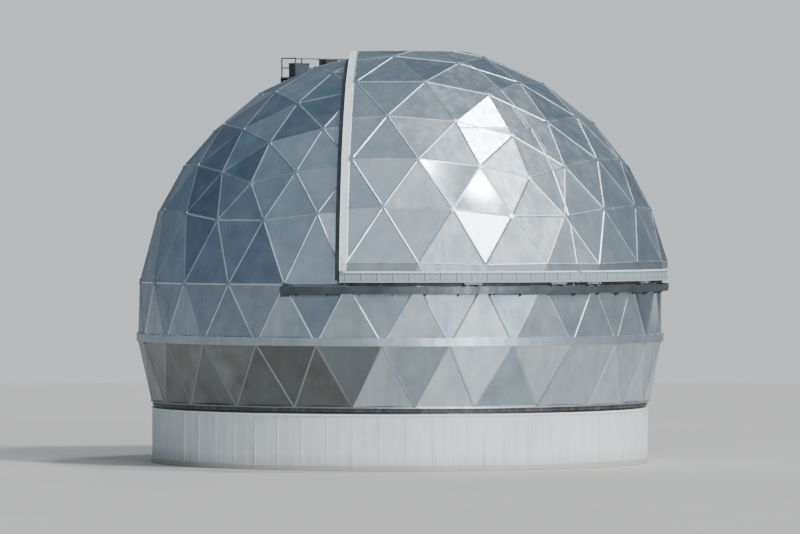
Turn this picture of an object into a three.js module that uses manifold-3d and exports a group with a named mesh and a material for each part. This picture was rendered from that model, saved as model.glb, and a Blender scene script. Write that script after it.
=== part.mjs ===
// Observatory dome: a faceted aluminium dome that turns on a low white ring wall, with a closed
// pair of raised shutter leaves that slide round it to open the observing slot.
// Millimetres, +Z up. The origin is the centre of the floor's underside; the slot faces -Y.
// Azimuths are in degrees from -Y towards +X, heights over the dome are measured from its centre.
import * as THREE from "three";
import { mergeVertices } from "three/addons/utils/BufferGeometryUtils.js";
import Module from "manifold-3d";

const wasm = await Module();
wasm.setup();

// Driving dimensions of the dome
const DOME_RADIUS = 13000;
const CENTRE_HEIGHT = 7200;
const SHELL_DEPTH = 220;
const CROWN_LEVEL = 12690;
const SILL_LEVEL = 1400;
const FOOT_LEVEL = -4200;
const SECTORS = 5;
const HALF_SLOT = 36;

// The lattice of panels: an icosahedron with a corner at the crown, its faces divided in FREQUENCY.
// The upper rows are lifted a little, and the dome's lower rows lie level, at these latitudes.
const SPOKES = 5;
const FIRST_SPOKE = 63.8;
const FREQUENCY = 5;
const LAST_ROW = 2 * FREQUENCY;
const CORNER_LATITUDE = 26.565;
const LAST_LIFTED_ROW = 7;
const LIFT = 0.1;
const DOME_LEVELS = { 7: 7.5, 8: -5.2, 9: -18.9 };

const SEAT_GAP = 0.3;
const FAR = 20000;

// The ring wall, its floor and its track
const WALL_RADIUS = 12250;
const WALL_DEPTH = 300;
const WALL_HEIGHT = 2680;
const WALL_SIDES = 120;
const WALL_SEGMENT_SIDES = [30, 29, 29, 30];
const DOOR_BAY_SIDES = 2;
const FLOOR_DEPTH = 150;
const TRACK_HEIGHT = 80;
const TRACK_INNER = 11980;
const TRACK_OUTER = 12130;
const TRACK_SIDES = 60;
const CONTACT_GAP = 0.4;

// The entry door at the back
const FRAME_HALF_WIDTH = 625;
const FRAME_HEIGHT = 2250;
const FRAME_BAR = 80;
const FRAME_INNER_FACE = 11975;
const FRAME_OUTER_FACE = 12205;
const DOOR_GAP = 0.8;
const DOOR_DEPTH = 60;
const THRESHOLD = 30;

// The dome's base ring and its wheel trucks
const BASE_INNER = 11900;
const BASE_OUTER = 12190;
const BASE_DEPTH = 120;
const BASE_SEGMENTS = 3;
const TRUCKS = 15;
const TRUCK_LENGTH = 900;
const TRUCK_WIDTH = 170;
const WHEEL_RADIUS = 58;
const WHEEL_WIDTH = 90;
const WHEEL_SPACING = 520;

// The ledge round the dome and the two shutter rails
const LEDGE_OUTER = 13040;
const LEDGE_TOP = -850;
const LEDGE_HEIGHT = 330;
const RAIL_OUTER = 13300;
const RAIL_TOP = 1600;
const RAIL_HEIGHT = 240;
const RAIL_HALF_ANGLE = 66;
const RAIL_END_LENGTH = 300;
const RAIL_END_HEIGHT = 760;
const RAIL_SIDES = 42;
const RING_INSIDE = 12700;
const CROWN_RAIL_INNER = 1950;
const CROWN_RAIL_OUTER = 2200;
const CROWN_RAIL_TOP = 12980;
const CROWN_SIDES = 48;

// The frame round the slot
const JAMB_WIDTH = 300;
const JAMB_INNER_RADIUS = 12450;
const JAMB_FRONT_LIMIT = -1700;
const SILL_INNER = 12350;
const SILL_OUTER = 12860;
const SILL_HEIGHT = 500;
const HEAD_FRONT = -2600;
const HEAD_BACK = -2000;
const HEAD_HALF_WIDTH = 1800;
const HEAD_HEIGHT = 420;

// The shutter leaves
const LEAF_RADIUS = 13500;
const LEAF_INNER_RADIUS = 13260;
const LEAF_TOP = 13030;
const LEAF_SPLIT = 9200;
const LEAF_BACK_LIMIT = -50;
const LEAF_CROWN_RADIUS = 2500;
const HALF_SEAM = 4;
const LEADING_RIB_WIDTH = 220;
const TRAILING_AZIMUTH = 43;
const TRAILING_OFFSET = 2300;
const TRAILING_RIB_WIDTH = 340;
const TRAILING_RIB_PROUD = 50;
const BEAM_INNER = 12950;
const BEAM_OUTER = 13200;
const BEAM_BOTTOM = 1780;
const BEAM_TOP = 2340;
const BOGIE_AZIMUTHS = [5, 25];
const BOGIE_LENGTH = 900;
const BOGIE_WIDTH = 180;
const BOGIE_RADIUS = 13080;
const TOP_ARC_INNER = 2230;
const TOP_ARC_BOTTOM = 12860;
const TOP_ARC_RANGE = [2, 86];
const ROLLER_AZIMUTHS = [12, 70];
const ROLLER_RADIUS = 90;

// The service deck behind the crown
const DECK_HEIGHT = 11750;
const DECK_PLATE = 70;
const DECK_HALF_WIDTH = 2600;
const DECK_BACK = 6150;
const DECK_FRONT = 4300;
const LEG_SIZE = 120;
const LEG_REACH = 1200;
const RAILING_HEIGHT = 1060;
const RAILING_BAR = 50;
const RAILING_INSET = 60;
const RAILING_RETURN = 1100;
const RAILING_POSTS = [-2560, -1280, 0, 1280, 2560];
const CABINETS = [
  { name: "deck_cabinet_left", x: -1750, width: 900, depth: 520, height: 780 },
  { name: "deck_cabinet_right", x: 150, width: 760, depth: 560, height: 980 },
];
const CABINET_CENTRE_Y = 5720;

// Finishes
const finish = (color, roughness, metalness) =>
  new THREE.MeshStandardMaterial({ color, roughness, metalness });
const PANEL_ALUMINIUM = finish(0x9aa4ad, 0.38, 0.85);
const LEAF_ALUMINIUM = finish(0xa8b0b6, 0.34, 0.85);
const WHITE_TRIM = finish(0xd9dcdc, 0.5, 0.1);
const WHITE_WALL = finish(0xcfd1ce, 0.8, 0);
const DARK_STEEL = finish(0x34373a, 0.6, 0.6);
const RAIL_STEEL = finish(0x6d7478, 0.45, 0.7);
const DOOR_PAINT = finish(0x7c8388, 0.55, 0.1);
const FLOOR_CONCRETE = finish(0x8e8c86, 0.9, 0);

const radians = (degrees) => (degrees * Math.PI) / 180;
const domeHeight = (height) => CENTRE_HEIGHT + height;
const planPoint = (azimuth, radius) =>
  new THREE.Vector2(radius * Math.sin(radians(azimuth)), -radius * Math.cos(radians(azimuth)));

// Turns a closed three.js geometry into a solid that can be joined and cut.
function solid(geometry) {
  const bare = geometry.clone();
  bare.deleteAttribute("normal");
  bare.deleteAttribute("uv");
  const merged = mergeVertices(bare, 1e-3);
  return new wasm.Manifold(
    new wasm.Mesh({
      numProp: 3,
      vertProperties: merged.attributes.position.array,
      triVerts: new Uint32Array(merged.index.array),
    }),
  );
}

// Adds a solid to a group as a named mesh.
function addMesh(group, name, body, material) {
  const { vertProperties, triVerts } = body.getMesh();
  const geometry = new THREE.BufferGeometry();
  geometry.setAttribute("position", new THREE.BufferAttribute(vertProperties, 3));
  geometry.setIndex(new THREE.BufferAttribute(triVerts, 1));
  geometry.computeVertexNormals();
  const mesh = new THREE.Mesh(geometry, material);
  mesh.name = name;
  group.add(mesh);
}

// A box given by its lowest and highest corners.
function boxBetween([x0, y0, z0], [x1, y1, z1]) {
  const box = new THREE.BoxGeometry(x1 - x0, y1 - y0, z1 - z0);
  box.translate((x0 + x1) / 2, (y0 + y1) / 2, (z0 + z1) / 2);
  return solid(box);
}

// A plan outline raised from one height to another.
function raised(points, bottom, top, hole) {
  const shape = new THREE.Shape(points);
  if (hole) shape.holes.push(new THREE.Path(hole));
  const geometry = new THREE.ExtrudeGeometry(shape, { depth: top - bottom, bevelEnabled: false });
  geometry.translate(0, 0, bottom);
  return solid(geometry);
}

const arcPoints = (radius, from, to, steps) =>
  Array.from({ length: steps + 1 }, (_, i) => planPoint(from + ((to - from) * i) / steps, radius));

// A polygonal ring all round the axis.
function ring(inner, outer, bottom, top, sides, phase = 0) {
  const outline = arcPoints(outer, phase, phase + 360, sides).slice(0, -1);
  const hole = inner ? arcPoints(inner, phase, phase + 360, sides).slice(0, -1) : null;
  return raised(outline, bottom, top, hole);
}

// A part of a ring between two azimuths.
function ringArc(inner, outer, bottom, top, from, to, steps) {
  const outline = [...arcPoints(outer, from, to, steps), ...arcPoints(inner, to, from, steps)];
  return raised(outline, bottom, top);
}

// The space between two vertical planes through the axis, each moved inwards by an inset.
function wedge(from, to, bottom, top, inset = SEAT_GAP / 2) {
  const half = (to - from) / 2;
  const middle = (to + from) / 2;
  const apex = planPoint(middle, inset / Math.sin(radians(half)));
  const far = [from, middle, to].map((azimuth) => planPoint(azimuth, FAR).add(apex));
  return raised([apex, ...far], bottom, top);
}

// A slab parallel to a vertical plane through the axis, from one distance beyond it to another.
function slab(azimuth, near, beyond, bottom, top) {
  const along = planPoint(azimuth, 1);
  const across = new THREE.Vector2(-along.y, along.x);
  const corner = (distance, reach) =>
    along.clone().multiplyScalar(reach).addScaledVector(across, distance);
  const outline = [corner(near, 0), corner(near, FAR), corner(beyond, FAR), corner(beyond, 0)];
  return raised(outline, bottom, top);
}

// A point of the unit sphere.
function spherePoint(azimuth, latitude) {
  const plan = planPoint(azimuth, Math.cos(radians(latitude)));
  return new THREE.Vector3(plan.x, plan.y, Math.sin(radians(latitude)));
}

// Corners of one lattice row on the unit sphere, in order of azimuth from the first spoke. The faces of
// an icosahedron with a corner at the crown are divided evenly, and the points pushed out to the sphere.
function unitRow(row) {
  const crown = new THREE.Vector3(0, 0, 1);
  if (row === 0) return [crown];
  const sector = 360 / SPOKES;
  const upper = (spoke) => spherePoint(FIRST_SPOKE + spoke * sector, CORNER_LATITUDE);
  const lower = (spoke) => spherePoint(FIRST_SPOKE + (spoke + 0.5) * sector, -CORNER_LATITUDE);
  const below = Math.max(row - FREQUENCY, 0);
  const points = [];
  const blend = (...shares) => {
    const point = new THREE.Vector3();
    shares.forEach(([corner, share]) => point.addScaledVector(corner, share / FREQUENCY));
    points.push(point.normalize());
  };
  for (let spoke = 0; spoke < SPOKES; spoke += 1) {
    if (below === 0) {
      for (let i = 0; i < row; i += 1) {
        blend([crown, FREQUENCY - row], [upper(spoke), row - i], [upper(spoke + 1), i]);
      }
      continue;
    }
    for (let i = 0; i < below; i += 1) {
      blend([upper(spoke), FREQUENCY - below], [lower(spoke - 1), below - i], [lower(spoke), i]);
    }
    for (let i = 0; i < FREQUENCY - below; i += 1) {
      blend([upper(spoke), FREQUENCY - below - i], [upper(spoke + 1), i], [lower(spoke), below]);
    }
  }
  const first = Math.ceil(below / 2);
  return [...points.slice(first), ...points.slice(0, first)];
}

// Corners of one lattice row at a radius, with some rows level at given latitudes.
function rowCorners(row, radius, levels) {
  return unitRow(row).map((corner) => {
    let height = corner.z;
    if (levels[row] !== undefined) height = Math.sin(radians(levels[row]));
    else if (row <= LAST_LIFTED_ROW) height = LIFT + (1 - LIFT) * corner.z;
    const reach = Math.sqrt(1 - height * height);
    const plan = new THREE.Vector2(corner.x, corner.y).setLength(row === 0 ? 0 : reach * radius);
    return new THREE.Vector3(plan.x, plan.y, domeHeight(height * radius));
  });
}

// Triangles between two neighbouring rows, as corner numbers [row, index].
function rowTriangles(row) {
  const above = unitRow(row).length;
  const below = unitRow(row + 1).length;
  const triangles = [];
  if (row < FREQUENCY) {
    for (let spoke = 0; spoke < SPOKES; spoke += 1) {
      for (let i = 0; i <= row; i += 1) {
        const top = [row, (spoke * row + i) % above];
        const left = [row + 1, spoke * (row + 1) + i];
        const right = [row + 1, (spoke * (row + 1) + i + 1) % below];
        triangles.push([top, left, right]);
        if (i < row) triangles.push([top, right, [row, (spoke * row + i + 1) % above]]);
      }
    }
    return triangles;
  }
  const shift = (row - FREQUENCY) % 2 === 0 ? 0 : 1;
  for (let i = 0; i < above; i += 1) {
    const next = (i + 1) % above;
    const lower = (i + shift) % below;
    const lowerBefore = (lower + below - 1) % below;
    triangles.push([[row, i], [row + 1, lowerBefore], [row + 1, lower]]);
    triangles.push([[row, i], [row + 1, lower], [row, next]]);
  }
  return triangles;
}

// The faceted dome as a closed solid of one radius, from the crown to well below its foot.
function latticeSolid(radius, levels = DOME_LEVELS) {
  const rows = Array.from({ length: LAST_ROW + 1 }, (_, row) => rowCorners(row, radius, levels));
  const centre = new THREE.Vector3(0, 0, CENTRE_HEIGHT);
  const positions = [];
  const addTriangle = (a, b, c) => {
    const normal = b.clone().sub(a).cross(c.clone().sub(a));
    const middle = a.clone().add(b).add(c).divideScalar(3).sub(centre);
    const order = normal.dot(middle) < 0 ? [a, c, b] : [a, b, c];
    order.forEach((corner) => positions.push(corner.x, corner.y, corner.z));
  };
  for (let row = 0; row < LAST_ROW; row += 1) {
    for (const triangle of rowTriangles(row)) {
      addTriangle(...triangle.map(([r, i]) => rows[r][i]));
    }
  }
  const last = rows[LAST_ROW];
  const bottom = new THREE.Vector3(0, 0, Math.min(...last.map((corner) => corner.z)));
  last.forEach((corner, i) => addTriangle(bottom, corner, last[(i + 1) % last.length]));
  const geometry = new THREE.BufferGeometry();
  geometry.setAttribute("position", new THREE.Float32BufferAttribute(positions, 3));
  return solid(geometry);
}

const outerDome = latticeSolid(DOME_RADIUS);
const seatDome = latticeSolid(DOME_RADIUS + SEAT_GAP * 1.5);
const domeShell = outerDome.subtract(latticeSolid(DOME_RADIUS - SHELL_DEPTH));

const observatory = new THREE.Group();
const building = new THREE.Group();
const dome = new THREE.Group();
const leaves = { left: new THREE.Group(), right: new THREE.Group() };
observatory.add(building, dome);
dome.add(leaves.left, leaves.right);

// Floor, ring wall and track
function buildBase() {
  const side = 360 / WALL_SIDES;
  const halfBay = (DOOR_BAY_SIDES / 2) * side;
  const inner = WALL_RADIUS - WALL_DEPTH;
  const floor = ring(0, inner - CONTACT_GAP, 0, FLOOR_DEPTH, WALL_SIDES);
  addMesh(building, "floor_slab", floor, FLOOR_CONCRETE);
  let from = 180 + halfBay;
  WALL_SEGMENT_SIDES.forEach((sides, i) => {
    const to = from + sides * side;
    const whole = ringArc(inner, WALL_RADIUS, 0, WALL_HEIGHT, from, to, sides);
    const cut = whole.intersect(wedge(from, to, -1, WALL_HEIGHT + 1));
    addMesh(building, `ring_wall_${i + 1}`, cut, WHITE_WALL);
    from = to;
  });
  const lintelBottom = FRAME_HEIGHT + SEAT_GAP;
  const lintel = ringArc(
    inner, WALL_RADIUS, lintelBottom, WALL_HEIGHT, 180 - halfBay, 180 + halfBay, DOOR_BAY_SIDES,
  ).intersect(wedge(180 - halfBay, 180 + halfBay, 0, WALL_HEIGHT + 1));
  addMesh(building, "door_lintel", lintel, WHITE_WALL);
  const trackBottom = WALL_HEIGHT + SEAT_GAP;
  const track = ring(TRACK_INNER, TRACK_OUTER, trackBottom, WALL_HEIGHT + TRACK_HEIGHT, TRACK_SIDES);
  addMesh(building, "track_ring", track, RAIL_STEEL);
}

function buildDoor() {
  const clearHalf = FRAME_HALF_WIDTH - FRAME_BAR;
  const clearTop = FRAME_HEIGHT - FRAME_BAR;
  const frame = boxBetween(
    [-FRAME_HALF_WIDTH, FRAME_INNER_FACE, 0],
    [FRAME_HALF_WIDTH, FRAME_OUTER_FACE, FRAME_HEIGHT],
  ).subtract(boxBetween(
    [-clearHalf, FRAME_INNER_FACE - 1, THRESHOLD],
    [clearHalf, FRAME_OUTER_FACE + 1, clearTop],
  ));
  addMesh(building, "door_frame", frame, WHITE_TRIM);
  const middle = (FRAME_INNER_FACE + FRAME_OUTER_FACE) / 2;
  const doorHalf = clearHalf - DOOR_GAP;
  const handle = { x: doorHalf - 140, z: 1050, length: 160, bar: 28, reach: 70 };
  const door = boxBetween(
    [-doorHalf, middle, THRESHOLD + DOOR_GAP],
    [doorHalf, middle + DOOR_DEPTH, clearTop - DOOR_GAP],
  ).add(boxBetween(
    [handle.x, middle + DOOR_DEPTH - 1, handle.z],
    [handle.x + handle.bar, middle + DOOR_DEPTH + handle.reach, handle.z + handle.bar],
  )).add(boxBetween(
    [handle.x - handle.length, middle + DOOR_DEPTH + handle.reach - handle.bar, handle.z],
    [handle.x + handle.bar, middle + DOOR_DEPTH + handle.reach, handle.z + handle.bar],
  ));
  addMesh(building, "entry_door", door, DOOR_PAINT);
}

// Base ring in segments, with its wheel trucks, which stand on the track
function buildBaseRing() {
  const top = domeHeight(FOOT_LEVEL) - SEAT_GAP;
  const bottom = top - BASE_DEPTH;
  const trackTop = WALL_HEIGHT + TRACK_HEIGHT;
  const trackMiddle = (TRACK_INNER + TRACK_OUTER) / 2;
  const axleHeight = trackTop + CONTACT_GAP + WHEEL_RADIUS;
  let base = ring(BASE_INNER, BASE_OUTER, bottom, top, TRACK_SIDES);
  for (let i = 0; i < TRUCKS; i += 1) {
    const azimuth = ((i + 0.5) * 360) / TRUCKS;
    const truck = new THREE.BoxGeometry(TRUCK_LENGTH, TRUCK_WIDTH, bottom - axleHeight + 10);
    truck.translate(0, -trackMiddle, (bottom + axleHeight + 10) / 2);
    truck.rotateZ(radians(azimuth));
    base = base.add(solid(truck));
    for (const side of [-1, 1]) {
      const wheel = new THREE.CylinderGeometry(WHEEL_RADIUS, WHEEL_RADIUS, WHEEL_WIDTH, 20);
      wheel.translate((side * WHEEL_SPACING) / 2, 0, 0);
      wheel.translate(0, -trackMiddle, axleHeight);
      wheel.rotateZ(radians(azimuth));
      base = base.add(solid(wheel));
    }
  }
  const segment = 360 / BASE_SEGMENTS;
  for (let i = 0; i < BASE_SEGMENTS; i += 1) {
    const space = wedge(i * segment, (i + 1) * segment, trackTop, top + 1);
    addMesh(dome, `base_ring_${i + 1}`, base.intersect(space), DARK_STEEL);
  }
}

// Shell pieces between the rows
function buildShell() {
  const sector = 360 / SECTORS;
  const crown = domeHeight(CROWN_LEVEL);
  const sill = domeHeight(SILL_LEVEL);
  const foot = domeHeight(FOOT_LEVEL);
  for (let i = 0; i < SECTORS; i += 1) {
    const from = HALF_SLOT + (i - 1) * sector;
    const band = wedge(from, from + sector, foot, sill - SEAT_GAP / 2);
    addMesh(dome, `lower_band_${i + 1}`, domeShell.intersect(band), PANEL_ALUMINIUM);
  }
  for (let i = 0; i < SECTORS - 1; i += 1) {
    const from = HALF_SLOT + i * sector;
    const space = wedge(from, from + sector, sill + SEAT_GAP / 2, crown - SEAT_GAP / 2);
    addMesh(dome, `dome_sector_${i + 1}`, domeShell.intersect(space), PANEL_ALUMINIUM);
  }
  const cap = domeShell.intersect(boxBetween(
    [-FAR, -FAR, crown + SEAT_GAP / 2],
    [FAR, FAR, domeHeight(DOME_RADIUS) + 1],
  ));
  addMesh(dome, "crown_cap", cap, PANEL_ALUMINIUM);
}

// Jambs, sill and head of the slot
function buildSlotFrame() {
  const crown = domeHeight(CROWN_LEVEL) - SEAT_GAP / 2;
  const sill = domeHeight(SILL_LEVEL) + SEAT_GAP / 2;
  const frontHalf = boxBetween([-FAR, -FAR, sill], [FAR, JAMB_FRONT_LIMIT, crown]);
  const rib = outerDome.subtract(latticeSolid(JAMB_INNER_RADIUS)).intersect(frontHalf);
  for (const [name, side] of [["left", -1], ["right", 1]]) {
    const edge = SEAT_GAP / 2;
    const width = slab(side * HALF_SLOT, -side * edge, -side * JAMB_WIDTH, sill, crown);
    addMesh(dome, `slot_jamb_${name}`, rib.intersect(width), WHITE_TRIM);
  }
  const between = wedge(-HALF_SLOT, HALF_SLOT, 0, crown + 1, JAMB_WIDTH + SEAT_GAP);
  const sillBar = ringArc(SILL_INNER, SILL_OUTER, sill, sill + SILL_HEIGHT, -HALF_SLOT, HALF_SLOT, 15);
  addMesh(dome, "slot_sill", sillBar.intersect(between).intersect(outerDome), WHITE_TRIM);
  const headBar = boxBetween(
    [-HEAD_HALF_WIDTH, HEAD_FRONT, crown - HEAD_HEIGHT],
    [HEAD_HALF_WIDTH, HEAD_BACK, crown],
  );
  addMesh(dome, "slot_head", headBar.intersect(between).intersect(outerDome), WHITE_TRIM);
}

// The ledge all round, the shutter rail over the sill and the ring rail on the crown
function buildRings() {
  const ledgeTop = domeHeight(LEDGE_TOP);
  const ledge = ring(RING_INSIDE, LEDGE_OUTER, ledgeTop - LEDGE_HEIGHT, ledgeTop, 2 * TRACK_SIDES);
  addMesh(dome, "ledge_ring", ledge.subtract(seatDome), PANEL_ALUMINIUM);
  const top = domeHeight(RAIL_TOP);
  const reach = RAIL_HALF_ANGLE;
  let rail = ringArc(RING_INSIDE, RAIL_OUTER, top - RAIL_HEIGHT, top, -reach, reach, RAIL_SIDES);
  for (const side of [-1, 1]) {
    const span = (RAIL_END_LENGTH / RAIL_OUTER) * (180 / Math.PI);
    const ends = [side * (reach - span), side * reach].sort((a, b) => a - b);
    const middle = top - RAIL_HEIGHT / 2;
    const half = RAIL_END_HEIGHT / 2;
    rail = rail.add(ringArc(RING_INSIDE, RAIL_OUTER - 60, middle - half, top - 1, ...ends, 1));
  }
  addMesh(dome, "shutter_rail", rail.subtract(seatDome), RAIL_STEEL);
  const crown = domeHeight(CROWN_LEVEL) + 10;
  const crownTop = domeHeight(CROWN_RAIL_TOP);
  const crownRail = ring(CROWN_RAIL_INNER, CROWN_RAIL_OUTER, crown, crownTop, CROWN_SIDES);
  addMesh(dome, "crown_rail", crownRail.subtract(seatDome), RAIL_STEEL);
}

// Service deck behind the crown, with its legs, railing and cabinets
function buildDeck() {
  const top = domeHeight(DECK_HEIGHT);
  let deck = boxBetween(
    [-DECK_HALF_WIDTH, DECK_FRONT, top - DECK_PLATE],
    [DECK_HALF_WIDTH, DECK_BACK, top],
  );
  for (const x of [-DECK_HALF_WIDTH, -LEG_SIZE / 2, DECK_HALF_WIDTH - LEG_SIZE]) {
    deck = deck.add(boxBetween(
      [x, DECK_BACK - LEG_SIZE, top - LEG_REACH],
      [x + LEG_SIZE, DECK_BACK, top - 1],
    ));
  }
  addMesh(dome, "crown_deck", deck.subtract(seatDome), DARK_STEEL);
  const railBottom = top + SEAT_GAP;
  const half = RAILING_BAR / 2;
  const lineY = DECK_BACK - RAILING_INSET;
  const lineX = RAILING_POSTS[RAILING_POSTS.length - 1];
  let railing = null;
  const join = (piece) => {
    railing = railing ? railing.add(piece) : piece;
  };
  for (const x of RAILING_POSTS) {
    join(boxBetween([x - half, lineY - half, railBottom], [x + half, lineY + half, top + RAILING_HEIGHT]));
  }
  for (const level of [RAILING_HEIGHT / 2, RAILING_HEIGHT - RAILING_BAR]) {
    join(boxBetween(
      [-lineX, lineY - half, top + level],
      [lineX, lineY + half, top + level + RAILING_BAR],
    ));
    for (const side of [-1, 1]) {
      const x = side * lineX;
      join(boxBetween(
        [x - half, lineY - RAILING_RETURN, top + level],
        [x + half, lineY + half, top + level + RAILING_BAR],
      ));
    }
  }
  for (const side of [-1, 1]) {
    const x = side * lineX;
    join(boxBetween(
      [x - half, lineY - RAILING_RETURN, railBottom],
      [x + half, lineY - RAILING_RETURN + RAILING_BAR, top + RAILING_HEIGHT],
    ));
  }
  addMesh(dome, "deck_railing", railing, DARK_STEEL);
  for (const { name, x, width, depth, height } of CABINETS) {
    const cabinet = boxBetween(
      [x - width / 2, CABINET_CENTRE_Y - depth / 2, top + SEAT_GAP],
      [x + width / 2, CABINET_CENTRE_Y + depth / 2, top + height],
    );
    addMesh(dome, name, cabinet.subtract(seatDome), RAIL_STEEL);
  }
}

// One shutter leaf. Its side is -1 on the left and 1 on the right.
function buildLeaf(name, side) {
  const group = leaves[name];
  const low = domeHeight(BEAM_TOP) + SEAT_GAP;
  const high = domeHeight(LEAF_TOP);
  const split = domeHeight(LEAF_SPLIT);
  const inside = latticeSolid(LEAF_INNER_RADIUS, {});
  const edge = (distance) => (side > 0 ? [distance, FAR] : [-FAR, -distance]);
  const trailing = TRAILING_OFFSET - TRAILING_RIB_WIDTH;
  const half = (from, bottom, top) => {
    const [x0, x1] = edge(from);
    return boxBetween([x0, -FAR, bottom], [x1, LEAF_BACK_LIMIT, top]);
  };
  const crownHole = ring(0, LEAF_CROWN_RADIUS, low, high + 1, CROWN_SIDES);
  const piece = (radius, from, near, beyond, bottom, top) => {
    const across = side * TRAILING_AZIMUTH;
    const space = slab(across, side * near, side * beyond, bottom, top);
    return latticeSolid(radius, {}).subtract(inside).intersect(space)
      .intersect(half(from, bottom, top)).subtract(crownHole);
  };
  const skinEdge = HALF_SEAM + LEADING_RIB_WIDTH + SEAT_GAP;
  const skin = (bottom, top) => piece(LEAF_RADIUS, skinEdge, -FAR, trailing, bottom, top);
  addMesh(group, `${name}_leaf_lower_skin`, skin(low, split - SEAT_GAP / 2), LEAF_ALUMINIUM);
  addMesh(group, `${name}_leaf_upper_skin`, skin(split + SEAT_GAP / 2, high), LEAF_ALUMINIUM);
  const stile = skinEdge - SEAT_GAP;
  const stileSide = edge(stile);
  const leading = piece(LEAF_RADIUS, HALF_SEAM, -FAR, FAR, low, high)
    .subtract(boxBetween([stileSide[0], -FAR, low - 1], [stileSide[1], FAR, high + 1]));
  addMesh(group, `${name}_leaf_leading_rib`, leading, LEAF_ALUMINIUM);
  const flange = piece(
    LEAF_RADIUS + TRAILING_RIB_PROUD, skinEdge, trailing + SEAT_GAP, TRAILING_OFFSET, low, high,
  );
  addMesh(group, `${name}_leaf_trailing_rib`, flange, WHITE_TRIM);
  buildLeafBeam(group, name, side);
  buildLeafTopArc(group, name, side);
}

// Bottom beam of a leaf, with the two bogies that run on the shutter rail
function buildLeafBeam(group, name, side) {
  const bottom = domeHeight(BEAM_BOTTOM);
  const top = domeHeight(BEAM_TOP);
  const ends = [0, side * 60].sort((a, b) => a - b);
  const [x0, x1] = side > 0 ? [HALF_SEAM, FAR] : [-FAR, -HALF_SEAM];
  let beam = ringArc(BEAM_INNER, BEAM_OUTER, bottom, top, ...ends, 20)
    .intersect(boxBetween([x0, -FAR, bottom - 1], [x1, 0, top + 1]))
    .intersect(slab(side * TRAILING_AZIMUTH, -side * FAR, side * TRAILING_OFFSET, bottom - 1, top + 1));
  const contact = domeHeight(RAIL_TOP) + CONTACT_GAP;
  const wheelRadius = (bottom - contact) / 2;
  for (const azimuth of BOGIE_AZIMUTHS) {
    const frame = new THREE.BoxGeometry(BOGIE_LENGTH, BOGIE_WIDTH, wheelRadius);
    frame.translate(0, -BOGIE_RADIUS, bottom - wheelRadius / 2 + 5);
    frame.rotateZ(radians(side * azimuth));
    beam = beam.add(solid(frame));
    for (const place of [-1, 1]) {
      const wheel = new THREE.CylinderGeometry(wheelRadius, wheelRadius, BOGIE_WIDTH - 40, 20);
      wheel.translate((place * BOGIE_LENGTH) / 3, 0, 0);
      wheel.translate(0, -BOGIE_RADIUS, contact + wheelRadius);
      wheel.rotateZ(radians(side * azimuth));
      beam = beam.add(solid(wheel));
    }
  }
  addMesh(group, `${name}_leaf_bottom_beam`, beam, WHITE_TRIM);
}

// Top arc of a leaf, with the rollers that bear on the crown rail
function buildLeafTopArc(group, name, side) {
  const bottom = domeHeight(TOP_ARC_BOTTOM);
  const top = domeHeight(LEAF_TOP) - 10;
  const ends = TOP_ARC_RANGE.map((azimuth) => side * azimuth).sort((a, b) => a - b);
  const outer = LEAF_CROWN_RADIUS * Math.cos(radians(180 / CROWN_SIDES)) - SEAT_GAP;
  let arc = ringArc(TOP_ARC_INNER + 20, outer, bottom, top, ...ends, 14);
  for (const azimuth of ROLLER_AZIMUTHS) {
    const roller = new THREE.CylinderGeometry(ROLLER_RADIUS, ROLLER_RADIUS, top - bottom - 20, 24);
    roller.rotateX(Math.PI / 2);
    roller.translate(0, -(CROWN_RAIL_OUTER + CONTACT_GAP + ROLLER_RADIUS), (top + bottom) / 2);
    roller.rotateZ(radians(side * azimuth));
    arc = arc.add(solid(roller));
  }
  addMesh(group, `${name}_leaf_top_arc`, arc, DARK_STEEL);
}

buildBase();
buildDoor();
buildBaseRing();
buildShell();
buildSlotFrame();
buildRings();
buildDeck();
buildLeaf("left", -1);
buildLeaf("right", 1);

export default observatory;
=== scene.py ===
"""Dresses the observatory dome: panels with battens and hubs, rails, ring wall, deck and stage."""

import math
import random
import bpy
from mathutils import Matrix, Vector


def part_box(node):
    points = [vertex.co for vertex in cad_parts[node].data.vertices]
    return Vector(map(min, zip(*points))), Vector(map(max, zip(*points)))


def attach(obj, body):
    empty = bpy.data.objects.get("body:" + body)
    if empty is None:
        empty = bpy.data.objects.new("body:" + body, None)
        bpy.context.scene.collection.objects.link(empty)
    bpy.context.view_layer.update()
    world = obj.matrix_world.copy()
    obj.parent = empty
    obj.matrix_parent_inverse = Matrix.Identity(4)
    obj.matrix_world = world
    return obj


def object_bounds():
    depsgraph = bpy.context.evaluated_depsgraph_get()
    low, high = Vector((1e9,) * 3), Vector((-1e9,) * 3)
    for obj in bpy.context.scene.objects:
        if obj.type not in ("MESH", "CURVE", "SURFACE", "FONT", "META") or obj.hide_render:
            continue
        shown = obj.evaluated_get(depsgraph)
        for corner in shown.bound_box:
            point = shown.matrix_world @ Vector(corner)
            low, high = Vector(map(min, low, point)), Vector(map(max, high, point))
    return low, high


bl_info = {
    "name": "Observatory Dome Dressing",
    "version": (1, 0, 0),
    "blender": (4, 5, 0),
    "location": "3D View > Sidebar > Dome",
    "description": "Adds panels, battens, trim and finishes to a faceted observatory dome",
    "category": "Object",
}

import bmesh
import bpy
from bpy.props import FloatProperty, FloatVectorProperty, IntProperty, PointerProperty
from mathutils import Matrix, Vector

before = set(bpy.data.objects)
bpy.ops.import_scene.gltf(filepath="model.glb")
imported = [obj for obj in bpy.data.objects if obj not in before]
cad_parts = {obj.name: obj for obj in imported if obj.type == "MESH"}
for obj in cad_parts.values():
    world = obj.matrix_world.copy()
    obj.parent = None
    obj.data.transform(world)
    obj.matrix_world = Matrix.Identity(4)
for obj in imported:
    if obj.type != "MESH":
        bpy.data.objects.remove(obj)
CAD_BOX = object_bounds()

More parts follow.
